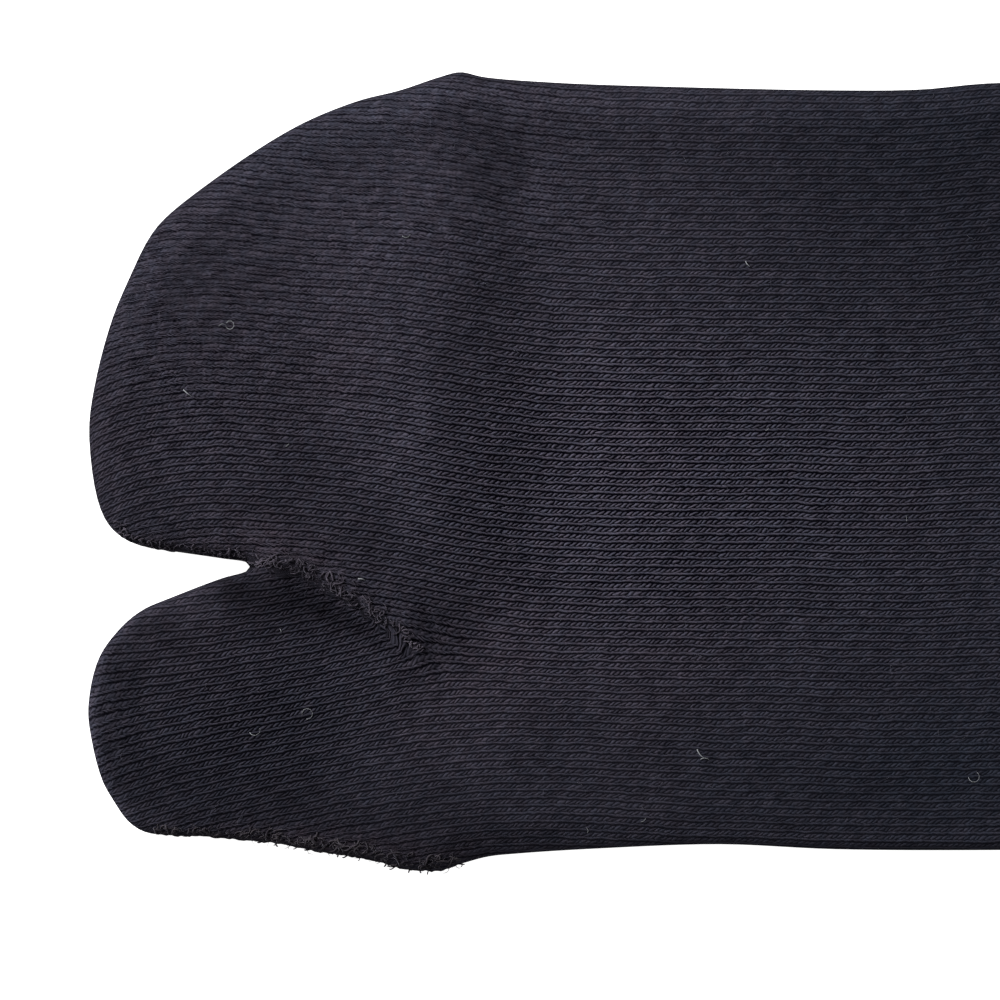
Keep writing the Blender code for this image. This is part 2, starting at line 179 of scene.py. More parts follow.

# Brightness and warmth painted into the yarn: partly dye that differs from place to place, partly painted
# light and painted shade, such as lighter and darker slopes and edges and the painted shadow below the split
# seam.
# Each row: along, across, reach along, reach across, turn in degrees, brightness, warmth
DYE_PAINTED_LIGHT_AND_SHADE = (
    (66, 2, 38, 24, 0, 0.33, 0.2),
    (62, 24, 18, 26, 0, 0.14, 0.2),
    (62, -26, 22, 12, 0, 0.16, 0.2),
    (28, 10, 52, 50, 0, 0, 0.4),
    (22, 27, 16, 11, 50, 0.20, 0.3),
    (42, 34, 5, 12, 4, 0.16, 0.2),
    (31, 18, 4, 22, 4, 0.10, 0.2),
    (43, 8, 3.5, 14, -4, -0.34, 0),
    (48, 18, 3.5, 8, 0, -0.10, 0),
    (14, 10, 14, 12, 0, 0.04, 0.4),
    (26, 0, 6, 7, 0, -0.18, 0),
    (34, -7, 3, 4, 0, -0.20, 0),
    (42, -19, 5, 6, -30, -0.50, 0),
    (29, -17, 9, 1.8, -31, -0.55, 0),
    (20, -15.5, 9, 3, -18, -0.48, 0.3),
    (24, -9, 8, 3, -25, -0.05, 1.8),
    (50, -20, 7, 6, 0, 0.06, 0.9),
    (46, -28, 9, 8, 0, 0.06, 0.8),
    (24, -31, 14, 8, 10, -0.26, -0.6),
    (10, -38, 10, 6, -20, -0.24, -0.3),
    (3, -23, 4, 5, 0, -0.35, 0),
    (26, -39, 8, 4, 0, -0.20, 0),
    (92, -34, 30, 8, 0, -0.14, -0.5),
    (112, 10, 30, 60, 0, -0.06, -0.9),
    (100, 2, 14, 14, 0, 0, 0.5),
    (106, 40, 18, 8, 0, -0.06, -0.8),
    (106, -36, 12, 8, 0, 0, -0.9),
    (25, 42, 20, 8, 35, 0, -0.7),
    (106, 34, 24, 16, 0, -0.14, 0),
    (84, -38, 46, 9, 0, -0.12, -0.4),
    (42, -41, 9, 5, 0, -0.24, 0),
    (20, 23, 6, 4, 0, -0.18, 0),
    (20, -4.5, 6, 3, 0, -0.12, 0),
    (14, -8.8, 5, 1.5, 0, 0.35, 1),
    (30, -44.8, 16, 1.8, -5, 0, 2.2),
    (60, 45, 60, 3, 0, 0.20, 0),
    (80, -44.5, 50, 2, 0, 0.10, 0),
    (30, -43, 15, 4, -5, -0.22, 0.2),
    (8.5, -18.5, 4, 3, -25, -0.36, 0),
    (3, -33, 3.5, 9, 0, -0.26, 0),
    (18, -14, 4, 2, -10, -0.30, 0),
    (34, -11.5, 4, 5, 0, -0.20, 0),
    (47, -13, 4, 9, 0, -0.10, 0),
    (10, -5, 6, 3, 0, -0.14, 0),
    (3.5, 8, 2.5, 6, 0, -0.14, 0),
    (17, 14.5, 5, 10, 0, -0.12, 0),
    (50, -39, 6, 7, 0, 0.12, 0),
    (33, -39, 4, 4, 0, 0.12, 0),
    (80, -2, 40, 11, 0, 0.10, 0),
    (12, 16, 14, 18, 0, -0.06, 0),
    (58, 26, 3.5, 16, 3, -0.12, 0),
    (88, 30, 30, 12, 0, -0.09, 0),
    (96, -40, 24, 5, 0, -0.08, 0),
    (40, 5, 4, 6, 0, 0.14, 0),
    (92, -33, 12, 4, 0, 0.12, 0),
)
WARMTH = (0.06, -0.015)  # change of red and of blue for a warmth of 1
LITTLE_TOE_EDGE_SHADE = 0.30  # painted shade: how much darker the yarn is painted along this folded edge
# below 0 this is painted light: the yarn is painted lighter along the big-toe edge
BIG_TOE_EDGE_SHADE = -0.45
EDGE_SHADE_REACH = 1.2
EDGE_SHADE_CHANGE = (-30.0, 0.0)  # "across" where the one edge's shade gives way to the other's
CONTRAST = 0.28  # how clearly the stitches stand out in general
# Where they stand out more.  Each row: along, across, reach along, reach across, turn, how much
CLEARER = (
    (62, -2, 34, 24, 0, 0.66),
    (20, -30, 18, 12, 10, 0.42),
    (12, 3, 14, 14, 0, 0.22),
    (100, 0, 20, 24, 0, 0.20),
)
# Where wear has roughened the knit.  Each row: along, across, reach along, reach across, turn, how much
WORN = (
    (9, 21, 11, 15, 0, 0.75),
    (24, 33, 18, 12, 35, 0.45),
    (44, 38, 16, 13, 0, 0.75),
    (29, 12, 14, 12, 0, 0.30),
    (27, -12, 10, 2.6, -30, 0.85),
    (40, -20, 5, 4, -30, 0.60),
    (8, -8.2, 9, 2.2, -8, 0.70),
    (30, -45, 17, 2.4, -7, 0.80),
    (2, -30, 4, 12, 0, 0.50),
)

# ---------------------------------------------------------------- the knitting
WALES = 95  # columns of stitches on one face of the flat tube
WALE = 0.97  # width of one column
COURSE = 0.688  # length of one row of stitches
RIB_DEPTH = 0.30
FLOW_END = 84.0  # from here to the cuff the columns run straight
FLOW_PLACES = 225  # number of places at which the columns' rise is summed
FLOW_REACH = 46.0  # distance from the long axis to the pockets' outer sides
SEAM_BLEND = (0.05, 7.05)  # width over which the two flows meet, on the seam and beyond it
SEAM_BLEND_CHANGE = (SEAM_END - 7, SEAM_END + 11)
# Slope of the columns in degrees, beside the split and on the pocket's outer side
FOUR_TOE_FLOW = (
    (0, 32, 10), (5, 17, 6), (12, 5, 1), (19, -3, -8), (27, -5, -4), (34, -9, -1), (41, -11, -6),
    (48, -7, -10), (55, -3, -6), (63, -1, -2), (74, 0, -1), (FLOW_END, 0, 0),
)
BIG_TOE_FLOW = (
    (0, -6, 30), (5, 0, 20), (12, 4, 15), (19, 6, 14), (27, 12, 12), (34, 19, 8), (41, 1, 9),
    (48, -2, 4), (55, -2, -1), (63, -1, -4), (72, 0, -3), (FLOW_END, 0, 0),
)

# ---------------------------------------------------------------- the look of the stitches
# Shape of the stitches, in columns and rows: where the cloth is worn, and where it is tidy
ROW_STRAY = (2.2, 1.0)  # how far stitches stray along their column
COLUMN_STRAY = (0.52, 0.30)  # and across it
STROKE_LIGHT = (0.60, 1.00)  # how light the slanting strokes are
LINE_SLOPE = (5.0, 2.6)  # rows that the running line passes in one column
LINE_REACH = (0.21, 0.18)  # half width of the running line
DASH = (0.85, 0.43)  # how much the running line breaks into dashes
ROW_WANDER = 1.6  # slower straying, the same everywhere
COLUMN_WANDER = 0.4
STROKE_MIDDLE = 0.27
STROKE_REACH = (0.22, 0.12)  # least half width of the strokes' band, and how much it varies
STROKE_SLANT = 1.7
STROKE_SHAPE = (0.6, 0.65)  # powers that flatten the band's and the stroke's tops
MELT = (0.34, 0.62, -0.28)  # how far strokes melt together: at least, with wear, with clearness
LINE_MIDDLE = 0.69
LINE_START = 0.58
LINE_SHAPE = 0.8
LINE_SHIFT = 0.35
LINE_CHANCE = 0.25  # how much lighter the running line is than the strokes
FILLING = (0.10, 0.46)  # yarn between the strokes of worn cloth: at least, and with the dashes
MID_LIGHT = 0.43  # the lightness that stays where the stitches' contrast is lowered
BROWN_SHARE = 0.18  # of brown in the yarn where it is reddish
SHEEN_TINT = (0.5, 0.5, 0.6, 1)

# ---------------------------------------------------------------- seams, lint and hairs
# Each seam: its spread along the sock as rows (along, factor for the size of its curls)
SPLIT_SPREAD = ((0, 0.45), (17, 0.5), (22, 0.6), (28, 0.75), (34, 0.7), (38, 0.45), (41, 0.15))
BIG_TOE_SPREAD = ((0, 0.4), (18, 0.6), (27, 0.9), (31, 0.75), (38, 0.9), (45, 0.7))
SPLIT_RISE = 0.16  # how high its curls stand
BIG_TOE_RISE = 0.12
SPLIT_SEAM_START = 2.6  # along the four-toe pocket's inner edge
BIG_TOE_SEAM = (7.5, 45.0)  # from here to here along the big-toe pocket's outer edge
CORE = (0.22, 0.10, 0.7)  # radius of a seam's core, what the spread adds, and its flatness
CORE_PLACES = 110
CORE_LIFT = -0.12
CORE_SINK = 0.2  # the core lies this much deeper on the instep
CORE_ANGLE = 12  # degrees above the fold
CORE_LUMPS = 0.65
CURLS = (0.85, 1.8, 1.0, 0.085)  # width, skew, rise and radius of the seams' curls
HAIRS = (1.1, 2.2, 1.2, 0.03)  # and of their hairs
CURL_BAND = 1.9  # curls lie within this distance of the seam, in their widths
CURL_CROWDING = 1.3  # above 1 they crowd towards the seam
CURL_WIDTH = 0.55  # half of a curl, as a share of the width
CURL_LEAST_OFF = (-0.35, 0.15)  # nearest that a curl comes to the seam, on the instep and on the edge
CURL_BOW = 0.8
CURL_LIFT = 0.04
HAIRS_PER_MM = 2.5
HAIR_RISE = (0.02, 0.18)
HAIR_TAPER = 0.75
LINT_THICKNESS = 1.6  # of lint, in radii of a hair
FUZZ_THICKNESS = 0.8
LINT_LIFT = 0.12
HAIR_LIFT = 0.05

# Loose fibres: each row is along, across, length, direction and bend in degrees, thickness
LINT = (
    (16.65, 17.8, 2.9, 60, -320, 1),
    (15.75, 17.4, 1.1, 60, -110, 0.8),
    (11.5, 9.8, 1.4, -45, 10, 1.6),
    (37.8, 28.2, 1.2, -50, 130, 1),
    (79, 25.2, 0.9, -70, 40, 1.3),
    (32.5, -12.9, 0.9, 8, -40, 2.6),
    (26.2, -29.8, 3.4, -10, 300, 0.8),
    (19.4, -31.4, 2, -60, 170, 0.8),
    (23.2, -19.3, 0.4, 80, 60, 1.6),
    (73.2, -33.4, 1.7, -75, 60, 1.5),
    (73.6, -34.6, 1.2, 35, -80, 1.4),
    (66.4, -42.1, 0.9, 10, 60, 1),
    (60, -43.4, 0.8, 60, 100, 1),
    (105.8, -36.8, 2.6, -80, 230, 0.9),
    (23.8, 3, 0.5, 30, 20, 1.4),
    (98.3, -6, 0.7, 80, 30, 0.9),
    (81.4, 4.9, 0.5, 20, 50, 1.3),
)

# ---------------------------------------------------------------- the stage, in metres
AIM = (-0.1430, -0.0031, FOLD * MM)  # middle of the view
FLOOR_HALF = 9.0
FLOOR_HEIGHT = -0.0004  # just under the sock
FLOOR_COLOUR = (0.86, 0.86, 0.86, 1)
KEY_PLACE = (-0.64, 0.50, 0.42)  # from the middle of the view
KEY_SIZE = 0.5
SENSOR = 36  # millimetres

# ---------------------------------------------------------------- mesh density
EVENNESS = 0.25  # share of the gentler curve in the spacing of points across the tube
SHOULDER = 0.35 * FOLD  # from a pocket's edge beside the split to its last points on top
SHOULDER_SHARE = 0.2  # and no more than this share of the pocket's width
CUFF_FINE = ({"four": 330, "big": 210}, 20)  # steps across, rings
CUFF_COARSE = ({"four": 33, "big": 21}, 8)
FINE = {
    "four": 60,
    "big": 40,
    "pocket": 34,
    "zones": ((60.0, 0.66), (184.0, 2.3), (204.0, 1.2), (234.0, 2.6), (256.0, 1.4), (BODY_END, 2.4)),
}
COARSE = {
    "four": 15,
    "big": 10,
    "pocket": 10,
    "zones": ((60.0, 2.6), (184.0, 9.0), (204.0, 2.6), (234.0, 8.0), (256.0, 2.9), (BODY_END, 10.0)),
}


# ================================================================ curves and fields
def smooth_curve(knots, per_span=12):
    """Centripetal Catmull-Rom curve: cubic through each pair of knots, turning smoothly at them."""
    p = np.array(knots, float)
    p = np.vstack([2 * p[0] - p[1], p, 2 * p[-1] - p[-2]])
    t = np.concatenate([[0], np.cumsum(np.linalg.norm(np.diff(p, axis=0), axis=1) ** 0.5)])
    out = []
    for i in range(1, len(p) - 2):
        u = np.linspace(t[i], t[i + 1], per_span, endpoint=False)[:, None]

        def mix(a, b, low, high):
            return ((t[high] - u) * a + (u - t[low]) * b) / (t[high] - t[low])

        a1 = mix(p[i - 1], p[i], i - 1, i)
        a2 = mix(p[i], p[i + 1], i, i + 1)
        a3 = mix(p[i + 1], p[i + 2], i + 1, i + 2)
        b1 = mix(a1, a2, i - 1, i + 1)
        b2 = mix(a2, a3, i, i + 2)
        out.append(mix(b1, b2, i, i + 1))
    return np.vstack(out + [p[-2:-1]])


def pocket_edges(inner, outer):
    """The inner and outer edge of a toe pocket, each running from its tip."""
    outline = smooth_curve(inner + outer)
    tip = int(outline[:, 0].argmin())
    return outline[: tip + 1][::-1], outline[tip:]


FOUR_IN, FOUR_OUT = pocket_edges(FOUR_TOE_INNER, LITTLE_TOE_SIDE)
BIG_IN, BIG_OUT = pocket_edges(BIG_TOE_INNER, BIG_TOE_SIDE)
EDGES = ((FOUR_IN, 1), (FOUR_OUT, -1), (BIG_IN, -1), (BIG_OUT, 1))
SEAM_LINE = smooth_curve(SEAM_ON_INSTEP)


def across_at(edge, along):
    return np.interp(along, edge[:, 0], edge[:, 1])


def stretch(line, start, end):
    """The points of a line that lie between two places along the sock."""
    return line[(line[:, 0] > start) & (line[:, 0] < end)]


def nearest_on(points, starts, runs):
    """For each plan point: the way from the nearest place on the segments, and all distances."""
    share = ((points[:, None] - starts) * runs).sum(2) / (runs * runs).sum(1)
    away = points[:, None] - starts - share.clip(0, 1)[:, :, None] * runs
    return away, np.linalg.norm(away, axis=2), share


def from_edge(points, chunk=3000):
    """Distance of plan points from the sock's outline, and the way into the cloth."""
    starts = np.vstack([edge[:-1] for edge, side in EDGES])
    runs = np.vstack([np.diff(edge, axis=0) for edge, side in EDGES])
    sides = np.concatenate([np.full(len(edge) - 1, side) for edge, side in EDGES])
    inward = np.stack([-runs[:, 1], runs[:, 0]], 1) * sides[:, None]
    inward /= np.linalg.norm(inward, axis=1)[:, None]
    distances, ways = [], []
    for first in range(0, len(points), chunk):
        part = points[first : first + chunk]
        away, distance, share = nearest_on(part, starts, runs)
        best = distance.min(1)
        pick = away[np.arange(len(part)), distance.argmin(1)]
        on_edge = ((distance < best[:, None] + SAME_DISTANCE)[:, :, None] * inward).sum(1)
        way = np.where(best[:, None] > ON_EDGE, pick, on_edge)
        distances.append(best)
        ways.append(way / np.linalg.norm(way, axis=1)[:, None])
    return np.concatenate(distances), np.vstack(ways)


def from_seam(points):
    """Signed distance from the seam on the instep (plus on the four-toe side), and along it."""
    starts, runs = SEAM_LINE[:-1], np.diff(SEAM_LINE, axis=0)
    away, distance, share = nearest_on(points, starts, runs)
    pick = distance.argmin(1)
    each = np.arange(len(points))
    side = np.sign(runs[pick, 0] * away[each, pick, 1] - runs[pick, 1] * away[each, pick, 0])
    along = starts[pick, 0] + share.clip(0, 1)[each, pick] * runs[pick, 0]
    return side * distance.min(1), along


def smooth_step(start, end, value):
    x = np.clip((value - start) / (end - start), 0, 1)
    return x * x * (3 - 2 * x)


def climb(along):
    """Height of the sock's underside, which passes over the heel pocket."""
    return CLIMB_HEIGHT * (smooth_step(*CLIMB, along) - smooth_step(*DESCENT, along))


def fold(share):
    """Quarter circle, from 0 at the edge to 1 where the cloth lies flat."""
    return np.sqrt(1 - (1 - np.clip(share, 0, 1)) ** 2)


def puff(distance):
    """Swelling of the instep beside a folded edge: a bell curve over the distance from it."""
    return EDGE_PUFF * np.exp(-(((distance - PUFF_AT) / PUFF_SPREAD) ** 2))


def turned_bell(plan, along, across, reach_along, reach_across, turn):
    """Bell curve about a place, 1 there, with its own reach each way and turned in plan."""
    c, s = np.cos(radians(turn)), np.sin(radians(turn))
    x, y = plan[:, 0] - along, plan[:, 1] - across
    return np.exp(-(((x * c + y * s) / reach_along) ** 2) - ((y * c - x * s) / reach_across) ** 2)


def bells(plan, table, column=5):
    """Sum of turned bell curves, one for each row of a table, times the number in a column."""
    return sum(row[column] * turned_bell(plan, *row[:5]) for row in table)


def tint(plan):
    """Colour factor of the yarn, partly dye and partly painted light and painted shade, with painted shade
    and painted light along the folded edges, and clearness and wear of the stitches: sums of turned bell
    curves.
    """
    dye_and_painted_light, warm = 1 + bells(plan, DYE_PAINTED_LIGHT_AND_SHADE), bells(plan, DYE_PAINTED_LIGHT_AND_SHADE, 6)
    clear = CONTRAST + bells(plan, CLEARER)
    worn = bells(plan, WORN).clip(0, 1)
    little_toe_share = smooth_step(*EDGE_SHADE_CHANGE, plan[:, 1])
    shade = BIG_TOE_EDGE_SHADE + (LITTLE_TOE_EDGE_SHADE - BIG_TOE_EDGE_SHADE) * little_toe_share
    # painted shade along the little-toe edge and painted light along the big-toe edge, close to the outline
    dye_and_painted_light *= 1 - shade * np.exp(-((from_edge(plan[:, :2])[0] / EDGE_SHADE_REACH) ** 2))
    red, blue = (dye_and_painted_light * (1 + change * warm) for change in WARMTH)
    return np.column_stack([red, dye_and_painted_light, blue, clear, worn])


def ripple(plan):
    """Sum of sine waves that cross at odd angles, one for each row of RIPPLES."""
    total = np.zeros(len(plan))
    for length, turn, height in RIPPLES:
        way = plan[:, 0] * np.cos(turn) + plan[:, 1] * np.sin(turn)
        phase = 5 * turn
        total += height * np.sin(2 * pi * way / length + phase)
    return total


def seam_step(plan):
    """Step at the split seam: a ridge on the four-toe side and a hollow on the big-toe side."""
    off, along = from_seam(plan)
    fade = 1 - smooth_step(*SEAM_STEP_FADE, along)
    start = smooth_step(*SEAM_STEP_START, plan[:, 0])
    place, height, back, on = SEAM_RIDGE
    beyond = off - place
    ridge = height * np.exp(-((beyond / np.where(beyond > 0, on, back)) ** 2))
    place, height, reach = SEAM_HOLLOW
    hollow = height * np.exp(-(((off - place) / reach) ** 2))
    return (ridge + hollow) * fade * start


def relief(plan, distance):
    """Height that the instep stands above its plain form, fading out at the folded edges."""
    free = bells(plan, SWELLS) + ripple(plan) + seam_step(plan) - LEAST_RELIEF
    held = 0.5 * (free + np.sqrt(free * free + RELIEF_ROUNDING)) + LEAST_RELIEF
    return held * smooth_step(*RELIEF_FADE, distance)


def outer_side(points):
    """Outer side of the cloth at points (along, across, side).

    The side is 1 on the instep, -1 on the sole and 0 on the folded edge: a quarter circle
    leads from the edge to each flat layer, and the instep has its swelling and relief.
    """
    plan, side = points[:, :2], points[:, 2]
    distance = from_edge(plan)[0]
    half = FOLD + np.where(side > 0, puff(distance) + relief(plan, distance), 0)
    return np.column_stack([plan, climb(plan[:, 0]) + FOLD + side * half * fold(distance / FOLD)])


def inner_side(points):
    """Inner side of the cloth at the same points, a wall's thickness further in."""
    plan, side = points[:, :2], points[:, 2]
    distance, way = from_edge(plan)
    moved = WALL + distance * (1 - WALL / LINING_REACH)
    moved = np.where(distance < LINING_REACH, moved, distance)
    plan = plan + way * (moved - distance)[:, None]
    half = LAYER_GAP / 2 + np.where(side > 0, puff(moved) + relief(plan, moved), 0)
    turn = fold((moved - WALL) / LINING_FOLD)
    return np.column_stack([plan, climb(plan[:, 0]) + FOLD + side * half * turn])


# ================================================================ the run of the stitches
def rise_table(flow):
    """How far the columns of stitches rise from each place along the sock to FLOW_END."""
    along = np.linspace(0, FLOW_END, FLOW_PLACES)
    table = np.array(flow)
    slopes = [np.tan(np.radians(np.interp(along, table[:, 0], table[:, k]))) for k in (1, 2)]
    step = along[1] - along[0]
    return along, [np.cumsum(slope[::-1])[::-1] * step for slope in slopes]


FOUR_RISE = rise_table(FOUR_TOE_FLOW)
BIG_RISE = rise_table(BIG_TOE_FLOW)


def stitch_numbers(plan):
    """Course and wale number at plan points: level lines of the numbers are the stitch rows.

    Over the folded edge the plan is let out to the cloth's true length, so that the stitches
    keep their size there.
    """
    distance, way = from_edge(plan)
    lean = np.arcsin(np.clip(1 - distance / FOLD, 0, 1))
    plan = plan - way * (FOLD * (lean - np.sin(lean)))[:, None]
    along, across = plan.T
    four_share = smooth_step(CROTCH[1], FLOW_REACH, across)[:, None]
    big_share = smooth_step(-CROTCH[1], FLOW_REACH, -across)[:, None]
    rises = []
    for (places, (by_split, outside)), share in ((FOUR_RISE, four_share), (BIG_RISE, big_share)):
        at = np.clip(along, 0, FLOW_END)
        near, far = np.interp(at, places, by_split), np.interp(at, places, outside)
        rises.append(near + (far - near) * share[:, 0])
    seam = across_at(SEAM_LINE, along)
    narrow, wide = SEAM_BLEND
    spread = narrow + (wide - narrow) * smooth_step(*SEAM_BLEND_CHANGE, along)
    four_side = np.clip((across - seam) / spread * 0.5 + 0.5, 0, 1)
    level = across + rises[1] + (rises[0] - rises[1]) * four_side
    straight = np.maximum(along, FLOW_END)
    top, bottom = across_at(FOUR_OUT, straight), across_at(BIG_OUT, straight)
    return along / COURSE, WALES * (top - level) / (top - bottom)


# ================================================================ building the mesh of the tube
def edge_weighted(steps):
    """Shares from 0 at an edge to 1, closest together at the edge: mostly a quarter cosine."""
    t = np.arange(steps + 1) / steps
    cosine, cubic = 1 - np.cos(t * pi / 2), t * t * (2 - t)
    return cosine + EVENNESS * (cubic - cosine)


def over_and_under(along, across, side):
    """Points (along, across, side) over the instep, and those of the sole on the way back."""
    over = np.column_stack([np.full(len(across), along), across, side])
    return over, (over * (1, 1, -1))[side > 0][::-1]


def tube_ring(along, density):
    """Ring of the undivided tube: little-toe edge, instep, big-toe edge and sole."""
    little_side, big_side = across_at(FOUR_OUT, along), across_at(BIG_OUT, along)
    first = little_side + edge_weighted(density["four"]) * (CROTCH[1] - little_side)
    last = big_side + edge_weighted(density["big"]) * (CROTCH[1] - big_side)
    across = np.concatenate([first, last[::-1][1:]])
    side = np.ones(len(across))
    side[[0, -1]] = 0
    return np.vstack(over_and_under(along, across, side))


def pocket_ring(along, outer, inner, steps, outer_first):
    """Ring of a toe pocket.  Three points go round its fold beside the split."""
    outer_across, inner_across = across_at(outer, along), across_at(inner, along)
    width = outer_across - inner_across
    shoulder = inner_across + min(SHOULDER, abs(width) * SHOULDER_SHARE) * np.sign(width)
    share = edge_weighted(steps)
    share = share + 0.5 * (np.sin(share * pi / 2) - share) * share
    across = outer_across + share * (shoulder - outer_across)
    side = np.ones(len(across))
    side[0] = 0
    over, under = over_and_under(along, across, side)
    web = np.array([[along, inner_across, 0]])
    if outer_first:
        return np.vstack([over, web, under])
    return np.vstack([over[::-1], under[::-1], web])


def ring_places(density):
    """Distances from the toe end of the rings from the split to the end of the body."""
    places, start = [], CROTCH[0] + FOLD
    for end, widest in density["zones"]:
        count = int(np.ceil((end - start) / widest))
        places.extend(start + (end - start) * np.arange(count) / count)
        start = end
    return places + [BODY_END]


def bridge(near, far):
    """Quads between two rings of equal length, or triangles from a single tip point."""
    near, far = np.asarray(near), np.asarray(far)
    if len(near) == 1:
        return [list(f) for f in np.stack([np.full(len(far), near[0]), np.roll(far, -1), far], 1)]
    return [list(f) for f in np.stack([near, np.roll(near, -1), np.roll(far, -1), far], 1)]


def sock_layer(density):
    """Points (along, across, side), faces and mouth of the tube with its two pockets.

    A mouth is a ring of points, and whether the faces that close it run backwards.
    """
    rings, faces, count = [], [], 0

    def add(ring):
        nonlocal count
        rings.append(np.atleast_2d(ring))
        count += len(rings[-1])
        return list(range(count - len(rings[-1]), count))

    tube = [add(tube_ring(x, density)) for x in ring_places(density)]
    for near, far in zip(tube[:-1], tube[1:]):
        faces += bridge(near, far)
    split, four = tube[0], density["four"]
    web = add((*CROTCH, 0))
    below = len(split) - four
    ends = (split[: four + 1] + web + split[below:], split[four : below + 1] + web)
    for inner, outer, steps, end, outer_first in (
        (FOUR_IN, FOUR_OUT, four, ends[0], True),
        (BIG_IN, BIG_OUT, density["big"], ends[1], False),
    ):
        tip = outer[0]
        near = add((tip[0], tip[1], 0))
        t = np.arange(1, density["pocket"]) / density["pocket"]
        for share in 0.5 * (1 - np.cos(t * pi / 2)) + 0.5 * t * t * (2 - t) ** 2:
            x = tip[0] + share * (CROTCH[0] - tip[0])
            far = add(pocket_ring(x, outer, inner, steps, outer_first))
            faces += bridge(near, far)
            near = far
        faces += bridge(near, end)
    return np.vstack(rings), faces, ((tube[-1], False),)


def joined_rim(outer_ring, inner_ring):
    """Flat faces that close a wall between its fine outer and coarse inner ring."""
    times = len(outer_ring) // len(inner_ring)
    faces = []
    for i, low in enumerate(inner_ring):
        high = inner_ring[(i + 1) % len(inner_ring)]
        outer = [outer_ring[(i * times + k) % len(outer_ring)] for k in range(times + 1)]
        faces.append(outer + [high, low])
    return faces


# ================================================================ meshes
def to_world(points):
    """Millimetres (along, across, height) to metres in the frame."""
    return (np.asarray(points, float) + (TOE_END, -ACROSS_MIDDLE, 0)) * MM


def new_piece(name, points, faces, material, numbers=None, tints=None):
    """A mesh object from places in metres, with stitch numbers as UV map and a tint, dye with painted light
    and painted shade, at each point.
    """
    mesh = bpy.data.meshes.new(name)
    mesh.from_pydata(np.asarray(points).tolist(), [], faces)
    mesh.shade_smooth()
    if numbers is not None:
        layer = mesh.uv_layers.new(name="knit")
        layer.uv.foreach_set("vector", np.asarray(numbers, np.float32).ravel())
    if tints is not None:
        layer = mesh.attributes.new("tint", "FLOAT_COLOR", "POINT")
        layer.data.foreach_set("color", tints[:, :4].astype(np.float32).ravel())
        layer = mesh.attributes.new("worn", "FLOAT", "POINT")
        layer.data.foreach_set("value", tints[:, 4].astype(np.float32))
    mesh.materials.append(material)
    mesh.validate()
    obj = bpy.data.objects.new(name, mesh)
    bpy.context.scene.collection.objects.link(obj)
    return obj


def corner_numbers(plan, side, faces):
    """Stitch numbers of every face corner.  The sole's wales mirror those of the instep."""
    course, wale = stitch_numbers(plan)
    corners = np.concatenate([np.asarray(f) for f in faces])
    sizes = np.array([len(f) for f in faces])
    starts = np.concatenate([[0], np.cumsum(sizes)[:-1]])
    sole = np.repeat(np.minimum.reduceat(side[corners], starts) < 0, sizes)
    return np.stack([course[corners], np.where(sole, 2 * WALES - wale[corners], wale[corners])], 1)


def tubes(paths, radii, sides=4):
    """Thin yarns as tubes: circles of the given radii carried along each path.

    paths is (yarns, points, 3) and radii (yarns, points).  The frame at a point is the
    path's direction, its cross product with a fixed way, and their cross product.
    """
    ahead = np.gradient(paths, axis=1)
    ahead /= np.linalg.norm(ahead, axis=2, keepdims=True) + 1e-12
    fixed = np.where(np.abs(ahead[..., 2:3]) > 0.9, (1.0, 0, 0), (0, 0, 1.0))
    across = np.cross(ahead, fixed)
    across /= np.linalg.norm(across, axis=2, keepdims=True) + 1e-12
    up = np.cross(across, ahead)
    turn = 2 * pi * np.arange(sides) / sides
    ring = np.cos(turn)[:, None] * across[:, :, None] + np.sin(turn)[:, None] * up[:, :, None]
    points = (paths[:, :, None] + ring * radii[:, :, None, None]).reshape(-1, 3)
    yarns, length = paths.shape[:2]
    base = (np.arange(yarns) * length * sides)[:, None, None]
    i, j = np.meshgrid(np.arange(length - 1), np.arange(sides), indexing="ij")
    a, b = base + i * sides + j, base + i * sides + (j + 1) % sides
    quads = np.stack([a, a + sides, b + sides, b], -1).reshape(-1, 4)
    first = base[:, :, 0] + np.arange(sides)
    last = first + (length - 1) * sides
    return points, quads.tolist() + first.tolist() + last[:, ::-1].tolist()


